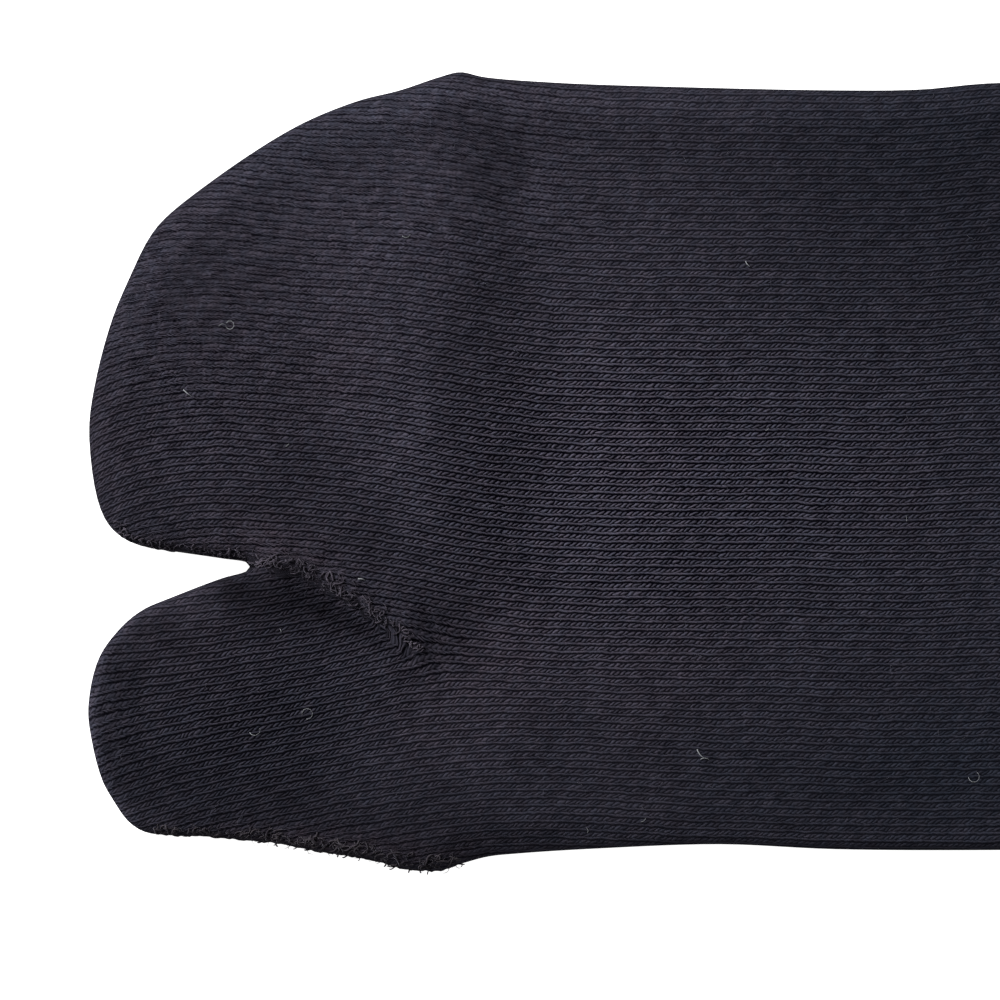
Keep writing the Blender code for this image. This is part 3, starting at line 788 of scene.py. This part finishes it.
# ================================================================ materials
class Value:
    """A socket of a material's node tree; sums and products of values add maths nodes."""

    def __init__(self, tree, socket):
        self.tree = tree
        self.socket = socket

    def node(self, kind, settings, inputs, output=0):
        """A new node with these property settings and with inputs set or linked by name or number."""
        made = self.tree.nodes.new(kind)
        for name, setting in settings.items():
            setattr(made, name, setting)
        for key, value in inputs.items():
            if isinstance(value, Value):
                self.tree.links.new(value.socket, made.inputs[key])
            else:
                made.inputs[key].default_value = value
        return Value(self.tree, made.outputs[output])

    def maths(self, operation, *values):
        return self.node("ShaderNodeMath", {"operation": operation}, dict(enumerate(values)))

    def __add__(self, other):
        return self.maths("ADD", self, other)

    def __radd__(self, other):
        return self.maths("ADD", other, self)

    def __sub__(self, other):
        return self.maths("SUBTRACT", self, other)

    def __rsub__(self, other):
        return self.maths("SUBTRACT", other, self)

    def __mul__(self, other):
        return self.maths("MULTIPLY", self, other)

    def __rmul__(self, other):
        return self.maths("MULTIPLY", other, self)

    def __truediv__(self, other):
        return self.maths("DIVIDE", self, other)

    def __rtruediv__(self, other):
        return self.maths("DIVIDE", other, self)

    def __pow__(self, other):
        return self.maths("POWER", self, other)

    def __neg__(self):
        return self.maths("MULTIPLY", self, -1.0)

    def floor(self):
        return self.maths("FLOOR", self)

    def fract(self):
        return self.maths("FRACT", self)

    def wave(self):
        """0 at whole numbers and 1 halfway between them, as a cosine."""
        return 0.5 - 0.5 * self.maths("COSINE", self * (2 * pi))

    def maximum(self, other):
        return self.maths("MAXIMUM", self, other)

    def step(self, low, high):
        """0 below low and 1 above high, with a smooth rise between."""
        inputs = {"Value": self, "From Min": low, "From Max": high}
        return self.node("ShaderNodeMapRange", {"interpolation_type": "SMOOTHSTEP"}, inputs)

    def blend(self, low, high):
        """The colour low where this value is 0, and high where it is 1."""
        inputs = {"Factor": self, 6: low, 7: high}
        return self.node("ShaderNodeMix", {"data_type": "RGBA"}, inputs, 2)

    def scale_colour(self, colour):
        """The colour multiplied by this value."""
        return self.node("ShaderNodeVectorMath", {"operation": "SCALE"}, {0: colour, "Scale": self})

    def parts(self):
        return [self.node("ShaderNodeSeparateXYZ", {}, {0: self}, k) for k in range(3)]

    def joined(self, second, third=0.0):
        return self.node("ShaderNodeCombineXYZ", {}, {0: self, 1: second, 2: third})

    def noise(self, scale, detail=1.0, output=0):
        """Soft noise over this place; its mean is 0.5."""
        return self.node("ShaderNodeTexNoise", {}, {"Vector": self, "Scale": scale, "Detail": detail}, output)

    def white(self):
        """An even random number for each whole place."""
        return self.node("ShaderNodeTexWhiteNoise", {"noise_dimensions": "3D"}, {"Vector": self})


def new_material(name, roughness, sheen):
    """A rough cloth material, with the object place and a function that takes its colour and bump."""
    material = bpy.data.materials.new(name)
    material.use_nodes = True
    tree = material.node_tree
    shader = tree.nodes["Principled BSDF"]
    shader.inputs["Roughness"].default_value = roughness
    shader.inputs["Sheen Weight"].default_value = sheen
    shader.inputs["Sheen Roughness"].default_value = 0.5
    shader.inputs["Sheen Tint"].default_value = SHEEN_TINT
    shader.inputs["Specular IOR Level"].default_value = 0.0
    place = Value(tree, tree.nodes.new("ShaderNodeTexCoord").outputs["Object"])

    def finish(colour, height=None, depth=0.0):
        tree.links.new(colour.socket, shader.inputs["Base Color"])
        if height is not None:
            bump = height.node("ShaderNodeBump", {}, {"Height": height, "Distance": depth * MM})
            tree.links.new(bump.socket, shader.inputs["Normal"])
        return material

    return place, finish


def knit_pattern(place, clear, worn):
    """Stocking stitch: for each column a row of slanting strokes over a shallow running line.

    Where the cloth is worn soft the strokes melt together and the running line breaks into
    dashes.  Returns the height of the yarn from 0 to 1, the stitch numbers, a random number
    for each stitch and a slow one.
    """
    numbers = place.node("ShaderNodeUVMap", {"uv_map": "knit"}, {})
    loose = numbers.noise(0.7, 1.5, 1).parts()
    wander = numbers.noise(0.17, 1.0, 1).parts()
    course, wale, _ = numbers.parts()
    tidy = 1 - worn

    def by_wear(where_worn, where_tidy):
        return where_worn + (where_tidy - where_worn) * tidy

    course = course + by_wear(*ROW_STRAY) * (loose[0] - 0.5) + ROW_WANDER * (wander[0] - 0.5)
    wale = wale + by_wear(*COLUMN_STRAY) * (loose[1] - 0.5) + COLUMN_WANDER * (wander[1] - 0.5)
    down, column = wale.fract(), wale.floor()
    slant = course + STROKE_SLANT * down + (column * 0.37).joined(course * 0.12).noise(1.0)
    reach = STROKE_REACH[0] + STROKE_REACH[1] * loose[2]
    band_shape, stroke_shape = STROKE_SHAPE
    band = (1 - ((down - STROKE_MIDDLE) / reach) ** 2).maximum(0.0) ** band_shape
    melt = MELT[0] + MELT[1] * worn + MELT[2] * clear
    upper = band * by_wear(*STROKE_LIGHT) * (melt + (1 - melt) * slant.wave() ** stroke_shape)
    shallow = course - by_wear(*LINE_SLOPE) * down + LINE_SHIFT
    dashes = shallow.wave() ** LINE_SHAPE
    band = (1 - ((down - LINE_MIDDLE) / by_wear(*LINE_REACH)) ** 2).maximum(0.0) ** LINE_SHAPE
    dash = by_wear(*DASH)
    lower = band * (1 - dash + dash * dashes)
    between = (FILLING[0] + FILLING[1] * dashes) * worn
    line = (down - LINE_START).step(0.0, 0.04)
    chance = slant.floor().joined(column, line.floor()).white() + LINE_CHANCE * line
    return upper.maximum(lower).maximum(between), numbers, chance, loose[2]


def knit_material(name, look):
    """Cotton knit: painted shade between the yarns, violet-grey on them, with fibres and slow drifts of
    colour.
    """
    place, finish = new_material(name, 0.9, look.sheen)
    # the tint holds dye drift together with painted light and painted shade
    tint_colour = place.node("ShaderNodeAttribute", {"attribute_name": "tint"}, {})
    clear = place.node("ShaderNodeAttribute", {"attribute_name": "tint"}, {}, 3)
    worn = place.node("ShaderNodeAttribute", {"attribute_name": "worn"}, {}, 2)
    height, numbers, chance, hue = knit_pattern(place, clear, worn)
    course, wale, _ = numbers.parts()
    fibres = (course * 1.5).joined(wale * 4.0).noise(1.3, 2.0)
    slack = (course * 0.3).joined(wale * 0.8, 3.0).noise(1.0, 2.0)
    mottle = numbers.noise(0.35, 2.0)
    warm = place.noise(38.0, 1.0)
    lit = (height + 0.55 * (slack - 0.5) + 0.7 * (fibres - 0.5)).step(look.gap, 0.85)
    contrast = 0.15 + 0.66 * clear + 0.34 * worn + 0.32 * (1 - lit)
    lit = MID_LIGHT + (lit - MID_LIGHT) * contrast
    yarn = hue.step(0.3, 0.7).blend((*look.violet, 1), (*look.blue, 1))
    yarn = (BROWN_SHARE * warm.step(0.50, 0.75)).blend(yarn, (*look.brown, 1))
    stitch_light, fibre_light, patch_light = 0.78 + 0.60 * chance, 0.50 + fibres, 0.83 + 0.34 * mottle
    strength = stitch_light * fibre_light * patch_light
    # where the knit is low the colour is the painted shade between the yarns
    colour = lit.blend((*look.dark, 1), strength.scale_colour(yarn))
    # times the tint: dye drift, painted light and painted shade
    colour = colour.node("ShaderNodeVectorMath", {"operation": "MULTIPLY"}, {0: colour, 1: tint_colour})
    return finish(colour, (height + 0.25 * fibres) * (0.25 + 0.75 * clear), look.depth)


def yarn_material(name, colour, dark):
    """Fuzzy yarn: a colour broken by fine threads of shade."""
    place, finish = new_material(name, 0.95, 0.3)
    threads = place.noise(2600.0, 3.0)
    patches = place.noise(420.0, 2.0)
    shade = (threads * 0.6 + patches * 0.6).step(0.42, 0.78)
    return finish(shade.blend((*dark, 1), (*colour, 1)), threads, 0.12)


def lint_material(name, colour):
    """Pale loose fibres, unevenly dusty."""
    place, finish = new_material(name, 0.8, 0.2)
    return finish((0.6 + 0.8 * place.noise(900.0)).scale_colour(tuple(colour)))


# ================================================================ yarns, loops and fibres
def seam_frame(path, normal, count):
    """Even places along a path with its normal there and the way across it."""
    run = np.concatenate([[0], np.cumsum(np.linalg.norm(np.diff(path, axis=0), axis=1))])
    at = np.linspace(0, run[-1], count)
    place = np.stack([np.interp(at, run, path[:, k]) for k in range(3)], 1)
    normal = np.stack([np.interp(at, run, normal[:, k]) for k in range(3)], 1)
    ahead = np.gradient(place, axis=0)
    ahead /= np.linalg.norm(ahead, axis=1)[:, None]
    normal -= (normal * ahead).sum(1)[:, None] * ahead
    normal /= np.linalg.norm(normal, axis=1)[:, None]
    return place, normal, np.cross(ahead, normal)


def beside_edge(edge, along, angle, reach):
    """Path round a folded edge on the side that faces the big toe, and its outward normals.

    The angle is counted from straight out of the edge to straight above its fold.
    """
    before = np.stack([along - 0.5, across_at(edge, along - 0.5)], 1)
    after = np.stack([along + 0.5, across_at(edge, along + 0.5)], 1)
    tangent = (after - before) / np.linalg.norm(after - before, axis=1)[:, None]
    outward = np.stack([tangent[:, 1], -tangent[:, 0]], 1)
    plan = np.stack([along, across_at(edge, along)], 1) + outward * (reach * np.cos(angle) - FOLD)[:, None]
    normal = np.column_stack([outward * np.cos(angle)[:, None], np.sin(angle)])
    return np.column_stack([plan, FOLD + reach * np.sin(angle)]), normal


def split_seam_path(lift, start_angle):
    """Along the four-toe pocket's inner edge and on over the instep."""
    along = np.linspace(SPLIT_SEAM_START, CROTCH[0] - 0.3, 40)
    angle = np.radians(start_angle + (90 - start_angle) * smooth_step(8.0, 18.5, along))
    path, normal = beside_edge(FOUR_IN, along, angle, FOLD + lift)
    line = stretch(SEAM_LINE, CROTCH[0] + 0.8, SEAM_END + SEAM_BEYOND)
    instep = outer_side(np.column_stack([line, np.full(len(line), ON_TOP)])) + (0, 0, lift - CORE_SINK)
    up = np.tile((0.0, -0.25, 1.0), (len(line), 1))
    return np.vstack([path, instep]), np.vstack([normal, up])


def big_toe_seam_path(lift, angle):
    """Along the outer edge of the big-toe pocket."""
    along = np.linspace(*BIG_TOE_SEAM, 80)
    return beside_edge(BIG_OUT, along, np.full(len(along), radians(angle)), FOLD + lift)


def seam_yarns(line, spread_at, per_mm, width, skew, rise, radius, rng):
    """Curls of yarn beside a seam: half ellipses over the cloth, each with its own skew.

    The seam is a line in plan and the yarns lie on its left, on the outer side of the cloth.
    Their spread is a factor for their size and distance, with its places along the sock.
    """
    run = np.concatenate([[0], np.cumsum(np.linalg.norm(np.diff(line, axis=0), axis=1))])
    count = int(run[-1] * per_mm)
    at = rng.uniform(0, run[-1], count)
    place, before, after = (
        np.column_stack([np.interp(at + way, run, line[:, k]) for k in range(2)]) for way in (0, -0.4, 0.4)
    )
    ahead = (after - before) / np.linalg.norm(after - before, axis=1)[:, None]
    left = np.column_stack([-ahead[:, 1], ahead[:, 0]])
    size = np.interp(place[:, 0], *np.array(spread_at).T)[:, None]
    t = np.linspace(0, 1, 8)[None]
    off = CURL_BAND * width * size * rng.uniform(0, 1, (count, 1)) ** CURL_CROWDING
    wide = CURL_WIDTH * width * size * rng.uniform(0.2, 1.0, (count, 1))
    least = np.where(place[:, :1] > CROTCH[0] + 1, *CURL_LEAST_OFF)
    over = np.maximum(off + wide * np.cos(pi * t), least)
    lean = skew * rng.uniform(-1, 1, (count, 1)) * (t - 0.5)
    bow = rng.uniform(-CURL_BOW, CURL_BOW, (count, 1)) * np.sin(pi * t)
    onward = size * (lean + bow)
    plan = place[:, None] + left[:, None] * over[..., None] + ahead[:, None] * onward[..., None]
    surface = outer_side(np.column_stack([plan.reshape(-1, 2), np.full(plan[..., 0].size, ON_TOP)]))
    paths = surface.reshape(count, -1, 3)
    paths[..., 2] += CURL_LIFT + rise * size * rng.uniform(0.3, 1.2, (count, 1)) * np.sin(pi * t)
    radii = radius * rng.uniform(0.7, 1.3, (count, 1)) * np.ones(t.shape)
    radii[:, [0, -1]] *= 0.5
    return tubes(paths, radii, 5)


def fibres(places, ahead, length, bend, radius, rng):
    """Hairs that start at places and curve: arcs of a circle, turned by bend in all."""
    count = len(places)
    t = np.linspace(0, 1, 9)[None]
    turn = bend[:, None] * t
    size = np.where(np.abs(bend) < 1e-3, 1.0, bend)[:, None]
    forward, sideways = np.sin(turn) / size, (1 - np.cos(turn)) / size
    up = np.array((0, 0, 1.0))
    side = np.cross(up, ahead)
    side /= np.linalg.norm(side, axis=1)[:, None] + 1e-9
    paths = places[:, None] + length[:, None, None] * (
        forward[..., None] * ahead[:, None] + sideways[..., None] * side[:, None]
    )
    rise = rng.uniform(*HAIR_RISE, (count, 1)) * length[:, None] * np.sin(pi * t)
    paths = paths + rise[..., None] * up
    radii = radius[:, None] * (1 - HAIR_TAPER * t**3)
    return tubes(paths, radii, 3)


def lumpy_cord(frame_of_seam, radius, flat, rng):
    """Core of a seam: a flattened tube whose radius swells and shrinks from place to place."""
    place, normal, across = frame_of_seam
    sides, count = 10, len(place)
    turn = 2 * pi * np.arange(sides) / sides
    lumps = rng.normal(0, 1, (count, sides))
    lumps = (lumps + np.roll(lumps, 1, 0) + np.roll(lumps, 1, 1) + np.roll(lumps, -1, 1)) / 4
    taper = np.sqrt(np.clip(np.minimum(np.arange(count) + 0.4, count - 0.6 - np.arange(count)) / 8, 0, 1))
    size = (radius * taper)[:, None] * (1 + CORE_LUMPS * lumps)
    sideways = across[:, None] * (size * np.cos(turn))[..., None]
    upwards = normal[:, None] * (size * flat * np.sin(turn))[..., None]
    points = (place[:, None] + sideways + upwards).reshape(-1, 3)
    i, j = np.meshgrid(np.arange(count - 1), np.arange(sides), indexing="ij")
    a, b = i * sides + j, i * sides + (j + 1) % sides
    quads = np.stack([a, a + sides, b + sides, b], -1).reshape(-1, 4).tolist()
    first = list(range(sides))
    last = list(range((count - 1) * sides, count * sides))
    return points, quads + [first, last[::-1]]


def merged(parts):
    """Several (points, faces) as one."""
    points, faces, count = [], [], 0
    for some, more in parts:
        points.append(some)
        faces += [[count + i for i in face] for face in more]
        count += len(some)
    return np.vstack(points), faces


# ================================================================ settings
def colour_setting(name, description, default):
    """A colour setting."""
    return bpy.props.FloatVectorProperty(
        name=name, description=description, default=default, subtype="COLOR", min=0.0, max=1.0, size=3
    )


def length_setting(name, description, default):
    """A length setting, in metres."""
    return bpy.props.FloatProperty(
        name=name, description=description, default=default, unit="LENGTH", subtype="DISTANCE"
    )


def number_setting(name, description, default, low=0.0, high=1.0):
    """A plain number between low and high."""
    return bpy.props.FloatProperty(name=name, description=description, default=default, min=low, max=high)


class TabiCloth(bpy.types.PropertyGroup):
    """Colours and depth of the knitted cloth."""

    violet: colour_setting("Violet yarn", "Yarn where it is warmer", (0.0456, 0.0419, 0.0570))
    blue: colour_setting("Blue yarn", "Yarn where it is cooler", (0.0376, 0.0381, 0.0537))
    brown: colour_setting("Brown yarn", "Yarn in the faint reddish stretches", (0.0522, 0.0395, 0.0506))
    dark: colour_setting("Between yarns", "Colour of the gaps", (0.0008, 0.0007, 0.0018))
    gap: number_setting("Gap", "Height of the knit below which it looks like a gap", 0.12, high=0.84)
    sheen: number_setting("Sheen", "Weight of the fuzz", 0.03)
    depth: number_setting("Knit depth", "Depth of the stitches in millimetres", 0.16)


class TabiSeams(bpy.types.PropertyGroup):
    """The linking seams."""

    yarn: colour_setting("Seam yarn", "Colour of the split's seam yarn", (0.062, 0.053, 0.068))
    edge_yarn: colour_setting("Edge yarn", "Colour of the big-toe seam's yarn", (0.050, 0.043, 0.049))
    shade: colour_setting("Seam shade", "Colour in the seam's depths", (0.007, 0.005, 0.008))
    loops: number_setting("Loops", "Yarn loops for each millimetre of seam", 4.8, 0.1, 20.0)
    loop_width: length_setting("Loop width", "Half width of a loop", 1.4 * MM)


class TabiLint(bpy.types.PropertyGroup):
    """Loose fibres on the cloth."""

    colour: colour_setting("Lint", "Colour of the loose fibres", (0.24, 0.25, 0.26))
    fuzz: bpy.props.IntProperty(name="Fuzz", description="Number of short hairs", default=900, min=1)
    fuzz_colour: colour_setting("Fuzz colour", "Colour of the short hairs", (0.060, 0.056, 0.068))
    fuzz_shade: colour_setting("Fuzz shade", "Their colour where they are darker", (0.02, 0.02, 0.03))
    radius: length_setting("Hair radius", "Radius of a hair", 0.028 * MM)


class TabiStage(bpy.types.PropertyGroup):
    """Light, floor and camera."""

    key: bpy.props.FloatProperty(
        name="Key light", description="Power of the large soft light", default=18.0, unit="POWER"
    )
    ambient: number_setting("Ambient", "Strength of the surroundings", 0.27, high=10.0)
    distance: length_setting("Distance", "Camera height over the instep", 0.45)
    width: length_setting("Width in view", "Width of the view at the instep", 0.1207)


# ================================================================ operators
def tube_piece(name, layer, lining, material, shape=outer_side):
    """Closed wall between an outer layer and the inner layer of the same tube."""
    layout, faces, mouths = layer
    inner_layout, inner_faces, inner_mouths = lining
    count = len(layout)
    points = np.vstack([shape(layout), inner_side(inner_layout)])
    every = faces + [[count + i for i in face[::-1]] for face in inner_faces]
    for (ring, backwards), (inner_ring, _) in zip(mouths, inner_mouths):
        rim = joined_rim(ring, [count + i for i in inner_ring])
        every += [face[::-1] for face in rim] if backwards else rim
    plan = np.vstack([layout, inner_layout])
    numbers = corner_numbers(plan[:, :2], plan[:, 2], every)
    return new_piece(name, to_world(points), every, material, numbers, tint(plan))


class TABI_OT_body(bpy.types.Operator):
    """Knit the foot and leg in one tube with its two toe pockets"""

    bl_idname = "tabi.body"
    bl_label = "Body"

    def execute(self, context):
        material = knit_material("cotton_knit", context.scene.tabi_cloth)
        body = tube_piece("knitted_body", sock_layer(FINE), sock_layer(COARSE), material)
        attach(body, "root")
        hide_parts("sock_body")
        return {"FINISHED"}


def heel_outline(inset):
    """Plan of the heel pocket: a straight mouth with round corners and an oval end."""
    half, corner, start = HEEL_HALF_WIDTH - inset, max(HEEL_CORNER - inset, 0.5), HEEL_START + inset
    turn = np.linspace(0, pi / 2, 9)
    mouth = np.stack([start + corner * (1 - np.cos(turn)), half - corner * (1 - np.sin(turn))], 1)
    turn = np.linspace(0, pi / 2, 33)
    reach = HEEL_END - inset - HEEL_SIDE_END
    end = np.stack([HEEL_SIDE_END + reach * np.sin(turn), half * np.cos(turn)], 1)
    side = np.vstack([mouth, end])
    return np.vstack([side, side[:-1][::-1] * (1, -1)])


class TABI_OT_heel_pocket(bpy.types.Operator):
    """Fold the heel pocket flat below the ankle"""

    bl_idname = "tabi.heel_pocket"
    bl_label = "Heel pocket"

    def execute(self, context):
        material = bpy.data.materials["cotton_knit"]
        loops = []
        for inset, share in HEEL_RIM:
            plan = heel_outline(inset)
            room = np.minimum(HEEL_HEIGHT, climb(plan[:, 0]) - PIECE_GAP).clip(HEEL_LEAST)
            loops.append(np.column_stack([plan, share * room]))
        count = len(loops[0])
        points = np.vstack(loops)
        faces = []
        for k in range(len(loops) - 1):
            near = np.arange(k * count, (k + 1) * count)
            faces += bridge(near, near + count)
        faces.append(list(range(count))[::-1])
        faces.append(list(range(len(points) - count, len(points))))
        corners = np.concatenate(faces)
        numbers = points[corners, :2] / (COURSE, WALE) + (0, HEEL_FIRST_WALE)
        heel = new_piece("folded_heel", to_world(points), faces, material, numbers, tint(points))
        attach(heel, "root")
        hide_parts("heel_pocket")
        return {"FINISHED"}


def ribbed_side(points):
    """Outer side of the cuff: cosine furrows between its columns, pressed in square to the cloth."""
    outer = outer_side(points)
    rib = RIB_DEPTH * (np.cos(pi * stitch_numbers(points[:, :2])[1]) - 1) / 2
    distance, way = from_edge(points[:, :2])
    flat = fold(distance / FOLD)
    outer[:, 2] += points[:, 2] * rib * flat
    outer[:, :2] -= way * (rib * np.sqrt(1 - flat * flat))[:, None]
    return outer


def cuff_layer(density, rings):
    """Points, faces and both mouths of the cuff's tube."""
    points, faces, all_rings, count = [], [], [], 0
    for x in np.linspace(BODY_END + CUFF_LAP, CUFF_END, rings):
        ring = tube_ring(x, density)
        all_rings.append(list(range(count, count + len(ring))))
        points.append(ring)
        count += len(ring)
    for near, far in zip(all_rings[:-1], all_rings[1:]):
        faces += bridge(near, far)
    return np.vstack(points), faces, ((all_rings[-1], False), (all_rings[0], True))


class TABI_OT_cuff(bpy.types.Operator):
    """Knit the ribbed cuff"""

    bl_idname = "tabi.cuff"
    bl_label = "Cuff"

    def execute(self, context):
        material = knit_material("rib_knit", context.scene.tabi_cloth)
        layers = cuff_layer(*CUFF_FINE), cuff_layer(*CUFF_COARSE)
        cuff = tube_piece("ribbed_cuff", *layers, material, ribbed_side)
        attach(cuff, "root")
        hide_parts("cuff")
        return {"FINISHED"}


class TABI_OT_seams(bpy.types.Operator):
    """Link the toe pockets' seams with loops of yarn"""

    bl_idname = "tabi.seams"
    bl_label = "Seams"

    def execute(self, context):
        look = context.scene.tabi_seams
        rng = np.random.default_rng(41)
        wide = look.loop_width / MM
        on_edge = stretch(FOUR_IN, SPLIT_SEAM_START, CROTCH[0] - 0.5)
        on_instep = stretch(SEAM_LINE, CROTCH[0] + 0.3, SEAM_END + SEAM_BEYOND)
        split_line = np.vstack([on_edge, on_instep])
        toe_line = stretch(BIG_OUT, *BIG_TOE_SEAM)
        split = ("split_linking", "split_seam", split_seam_path, split_line, look.yarn)
        toe = ("big_toe_linking", "big_toe_seam", big_toe_seam_path, toe_line, look.edge_yarn)
        shapes = ((SPLIT_RISE, SPLIT_SPREAD), (BIG_TOE_RISE, BIG_TOE_SPREAD))
        for (name, node, path, line, colour), (rise, spread_at) in zip((split, toe), shapes):
            material = yarn_material(name, colour, look.shade)
            seam = seam_frame(*path(CORE_LIFT, CORE_ANGLE), CORE_PLACES)
            spread = np.interp(seam[0][:, 0], *np.array(spread_at).T)
            core = lumpy_cord(seam, CORE[0] + CORE[1] * spread, CORE[2], rng)
            width, skew, height, radius = CURLS
            loops = seam_yarns(line, spread_at, look.loops, width * wide, skew, height * rise, radius, rng)
            width, skew, height, radius = HAIRS
            hairs = seam_yarns(line, spread_at, HAIRS_PER_MM, width * wide, skew, height * rise, radius, rng)
            points, faces = merged((core, loops, hairs))
            obj = new_piece(name, to_world(points), faces, material)
            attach(obj, "root")
            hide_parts(node)
        return {"FINISHED"}


class TABI_OT_lint(bpy.types.Operator):
    """Scatter loose fibres and the yarn's own short hairs"""

    bl_idname = "tabi.lint"
    bl_label = "Lint"

    def execute(self, context):
        look = context.scene.tabi_lint
        rng = np.random.default_rng(7)
        rows = np.array(LINT)
        places = outer_side(np.column_stack([rows[:, :2], np.full(len(rows), ON_TOP)])) + (0, 0, LINT_LIFT)
        heading = np.radians(rows[:, 3])
        ahead = np.column_stack([np.cos(heading), np.sin(heading), np.zeros(len(rows))])
        size = look.radius / MM
        thickness = LINT_THICKNESS * size * rows[:, 5]
        points, faces = fibres(places, ahead, rows[:, 2], np.radians(rows[:, 4]), thickness, rng)
        lint = new_piece("loose_lint", to_world(points), faces, lint_material("lint", look.colour))
        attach(lint, "root")

        along = rng.uniform(1, 378, look.fuzz * 3)
        across = rng.uniform(-47, 48, look.fuzz * 3)
        plan = np.column_stack([along, across])
        inside = (across < across_at(FOUR_OUT, along)) & (across > across_at(BIG_OUT, along))
        in_split = (across < across_at(FOUR_IN, along)) & (across > across_at(BIG_IN, along))
        in_split &= along < CROTCH[0] + 1
        plan = plan[inside & ~in_split][: look.fuzz]
        rng.random(len(plan))  # one number a hair is passed over
        places = outer_side(np.column_stack([plan, np.full(len(plan), ON_TOP)])) + (0, 0, HAIR_LIFT)
        heading = rng.uniform(0, 2 * pi, len(plan))
        ahead = np.column_stack([np.cos(heading), np.sin(heading), rng.uniform(0, 0.4, len(plan))])
        length = rng.uniform(0.4, 1.6, len(plan))
        bend = rng.normal(0, 1.4, len(plan))
        points, faces = fibres(places, ahead, length, bend, np.full(len(plan), size * FUZZ_THICKNESS), rng)
        material = yarn_material("fuzz", look.fuzz_colour, look.fuzz_shade)
        fuzz = new_piece("yarn_fuzz", to_world(points), faces, material)
        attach(fuzz, "root")
        return {"FINISHED"}


def turn_towards(place, aim):
    """Turn that points a light's -Z at a place."""
    return Vector(np.asarray(aim) - np.asarray(place)).to_track_quat("-Z", "Y").to_euler()


class TABI_OT_stage(bpy.types.Operator):
    """Set up the floor, the soft light and the camera"""

    bl_idname = "tabi.stage"
    bl_label = "Stage"

    def execute(self, context):
        look = context.scene.tabi_stage
        aim = np.array(AIM)
        mesh = bpy.data.meshes.new("floor")
        signs = ((-1, -1), (1, -1), (1, 1), (-1, 1))
        corners = [(x * FLOOR_HALF, y * FLOOR_HALF, FLOOR_HEIGHT) for x, y in signs]
        mesh.from_pydata(corners, [], [(0, 1, 2, 3)])
        material = bpy.data.materials.new("floor")
        material.use_nodes = True
        shader = material.node_tree.nodes["Principled BSDF"]
        shader.inputs["Base Color"].default_value = FLOOR_COLOUR
        shader.inputs["Roughness"].default_value = 1.0
        shader.inputs["Emission Color"].default_value = (1, 1, 1, 1)
        shader.inputs["Emission Strength"].default_value = 1.0
        mesh.materials.append(material)
        floor = bpy.data.objects.new("floor", mesh)
        context.scene.collection.objects.link(floor)
        floor.visible_diffuse = False
        floor.visible_glossy = False

        lamp = bpy.data.lights.new("key", "AREA")
        lamp.shape = "DISK"
        lamp.size = KEY_SIZE
        lamp.energy = look.key
        key = bpy.data.objects.new("key", lamp)
        key.location = aim + KEY_PLACE
        key.rotation_euler = turn_towards(key.location, aim)
        context.scene.collection.objects.link(key)

        world = bpy.data.worlds.new("studio")
        world.use_nodes = True
        ground = world.node_tree.nodes["Background"]
        ground.inputs["Color"].default_value = (1, 1, 1, 1)
        ground.inputs["Strength"].default_value = look.ambient
        context.scene.world = world
        context.scene.view_settings.view_transform = "Standard"

        lens = bpy.data.cameras.new("camera")
        lens.sensor_width = SENSOR
        lens.lens = SENSOR * look.distance / look.width
        camera = bpy.data.objects.new("camera", lens)
        camera.location = aim + (0, 0, look.distance)
        context.scene.collection.objects.link(camera)
        context.scene.camera = camera
        return {"FINISHED"}


OPERATORS = (TABI_OT_body, TABI_OT_heel_pocket, TABI_OT_cuff, TABI_OT_seams, TABI_OT_lint, TABI_OT_stage)


class TABI_PT_panel(bpy.types.Panel):
    """Steps of the build, in order"""

    bl_label = "Tabi sock"
    bl_idname = "TABI_PT_panel"
    bl_space_type = "VIEW_3D"
    bl_region_type = "UI"
    bl_category = "Tabi sock"

    def draw(self, context):
        for operator in OPERATORS:
            self.layout.operator(operator.bl_idname)


GROUPS = (
    ("tabi_cloth", TabiCloth),
    ("tabi_seams", TabiSeams),
    ("tabi_lint", TabiLint),
    ("tabi_stage", TabiStage),
)


def register():
    for name, group in GROUPS:
        bpy.utils.register_class(group)
        setattr(bpy.types.Scene, name, bpy.props.PointerProperty(type=group))
    for kind in OPERATORS + (TABI_PT_panel,):
        bpy.utils.register_class(kind)


def unregister():
    for kind in reversed(OPERATORS + (TABI_PT_panel,)):
        bpy.utils.unregister_class(kind)
    for name, group in reversed(GROUPS):
        delattr(bpy.types.Scene, name)
        bpy.utils.unregister_class(group)


def main():
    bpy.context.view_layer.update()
    register()
    bpy.ops.tabi.body()
    bpy.ops.tabi.heel_pocket()
    bpy.ops.tabi.cuff()
    bpy.ops.tabi.seams()
    bpy.ops.tabi.lint()
    bpy.ops.tabi.stage()


if __name__ == "__main__":
    main()
